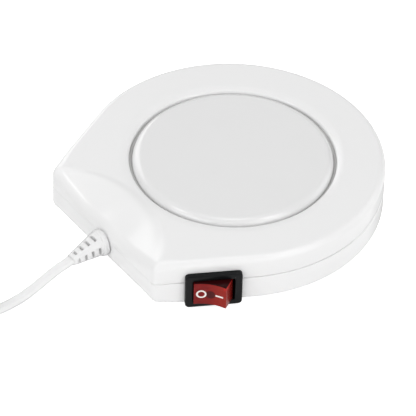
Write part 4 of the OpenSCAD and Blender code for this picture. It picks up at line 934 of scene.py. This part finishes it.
def tieStrap(t):
    # a strap with an oval section carried round the winding's upright section, in the radial plane; it is kept
    # off the floor and no thinner than "least" there
    halfR, halfZ = (t["outer"] - t["inner"]) / 2, (t["top"] + t["lift"]) / 2
    loop = roundedLoop(halfR, halfZ, t["round"], 6) + ((t["outer"] + t["inner"]) / 2, halfZ)
    run = np.roll(loop, -1, 0) - np.roll(loop, 1, 0)
    normal = np.stack([run[:, 1], -run[:, 0]], -1) / np.linalg.norm(run, axis=1, keepdims=True)
    a = np.linspace(0, 2 * np.pi, 12, endpoint=False)
    out, across = 0.5 + 0.5 * np.cos(a), np.sin(a) * t["width"] / 2
    flat = loop[:, None, :] + normal[:, None, :] * (out * t["thickness"])[None, :, None]
    flat[..., 1] = np.maximum(flat[..., 1], t["lift"] + t["least"] * (1 - out))
    c, s = math.cos(math.radians(t["turn"])), math.sin(math.radians(t["turn"]))
    x = cord["coilCentre"][0] + flat[..., 0] * c - across * s
    y = cord["coilCentre"][1] + flat[..., 0] * s + across * c
    return np.stack([x, y, flat[..., 1]], -1)


tiePiece = makePiece("cordTieStrap", [loft(tieStrap(tie), closed=True)], sharp=50)
dress(tiePiece, "whiteTieExtruded")
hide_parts("cord_tie")

print("feet, plug and tie made")


# The CAD's own pieces that stay

slotFinish = {
    "zinc_screw": "steelZincPlated", "zinc_steel": "steelZincPlated", "mica": "micaPressed",
    "resistance_ribbon": "resistanceRibbonRolled", "stat_cap": "aluminiumDrawn", "bimetal": "bimetalRolled",
    "phenolic": "phenolicMoulded", "brass_terminal": "brassStamped", "fuse_metal": "fuseCaseTinned",
    "glass_sleeve": "glassSleeveBraided", "lamp_glass": "neonGlassDrawn", "resistor": "resistorLacquered",
    "spring_steel": "springWireDrawn", "white_nylon": "naturalNylonMoulded", "tinned_brass": "brassTinned",
    "white_pvc": "whitePvcExtruded", "brown_wire": "brownPvcExtruded", "blue_wire": "bluePvcExtruded",
    "red_wire": "redSiliconeExtruded", "silicone_wire": "whiteSiliconeExtruded", "nickel_pin": "nickelPlated",
}
for part in frame["record"]["subparts"]:
    node = frame["nodes"][part["node"]]
    if not node.hide_render:
        dress(node, slotFinish[part["material_slot"]])
print("CAD nodes dressed")


# Stage and light

stage = {"floor": "#F4F4F4", "side": 4.0, "lift": 0.75, "shine": 0.3, "world": 0.32}
lamps = [
    # name, place in metres, power in watts, side in metres
    ("overheadBox", (0, 0, 1.5), 2.1, 0.5),
    ("rightBox", (0.28, -0.66, 1.32), 3.2, 0.36),
    ("leftBox", (-0.78, 0.34, 1.24), 2.4, 0.36),
    ("frontSheet", (0.15, -1.35, 0.6), 6.4, 1.0),
    ("rightSheet", (1.35, -0.35, 0.6), 4.1, 1.0),
    ("leftSheet", (-1.35, -0.25, 0.6), 7.5, 1.0),
    ("backSheet", (0.08, 1.38, 0.7), 6.8, 1.0),
]


def whiteFloor(s):
    # seen directly, a lift brings the open floor to white while the object's shadow stays on it
    material, tree = emptyMaterial("paleStudioSheet")
    at = addNode(tree, "TexCoord", {}).outputs["Object"]
    fibre = addNode(tree, "TexNoise", {"Scale": 1 / (3 * mm), "Detail": 2}, {"Vector": at})
    bump = addNode(tree, "Bump", {"Strength": 0.2, "Distance": 0.02 * mm}, {"Height": fibre.outputs["Fac"]})
    paper = {"Base Color": linear(s["floor"]), "Roughness": 0.9, "Specular IOR Level": 0.1}
    sheet = addNode(tree, "BsdfPrincipled", paper, {"Normal": bump.outputs["Normal"]})
    path = addNode(tree, "LightPath", {})
    pick = sheet
    for ray, strength in (("Is Glossy Ray", s["shine"]), ("Is Transmission Ray", s["lift"]),
                          ("Is Camera Ray", s["lift"])):
        glow = addNode(tree, "Emission", {"Strength": strength})
        both = addNode(tree, "AddShader", {}, {0: sheet.outputs[0], 1: glow.outputs[0]})
        pick = addNode(tree, "MixShader", {}, {0: path.outputs[ray], 1: pick.outputs[0], 2: both.outputs[0]})
    addNode(tree, "OutputMaterial", {}, {"Surface": pick.outputs[0]})
    return material


def makeStage(s):
    mesh = bpy.data.meshes.new("floor")
    side = s["side"]
    mesh.from_pydata([(-side, -side, 0), (side, -side, 0), (side, side, 0), (-side, side, 0)], [], [(0, 1, 2, 3)])
    mesh.materials.append(whiteFloor(s))
    floor = bpy.data.objects.new("floor", mesh)
    bpy.context.scene.collection.objects.link(floor)
    world = bpy.data.worlds.new("studio")
    bpy.context.scene.world = world
    world.use_nodes = True
    tree = world.node_tree
    tree.nodes.clear()
    path = addNode(tree, "LightPath", {})
    light = addNode(tree, "Background", {"Color": (1, 1, 1, 1), "Strength": s["world"]})
    white = addNode(tree, "Background", {"Color": (1, 1, 1, 1), "Strength": 1})
    pick = addNode(tree, "MixShader", {},
                   {0: path.outputs["Is Camera Ray"], 1: light.outputs[0], 2: white.outputs[0]})
    addNode(tree, "OutputWorld", {}, {"Surface": pick.outputs["Shader"]})
    for name, where, power, size in lamps:
        data = bpy.data.lights.new(name, "AREA")
        data.energy, data.size = power, size
        lamp = bpy.data.objects.new(name, data)
        bpy.context.scene.collection.objects.link(lamp)
        lamp.location = where
        lamp.rotation_euler = (-Vector(where)).to_track_quat("-Z", "Y").to_euler()


makeStage(stage)
bpy.context.scene.view_settings.view_transform = "Standard"

print("stage and light ready")
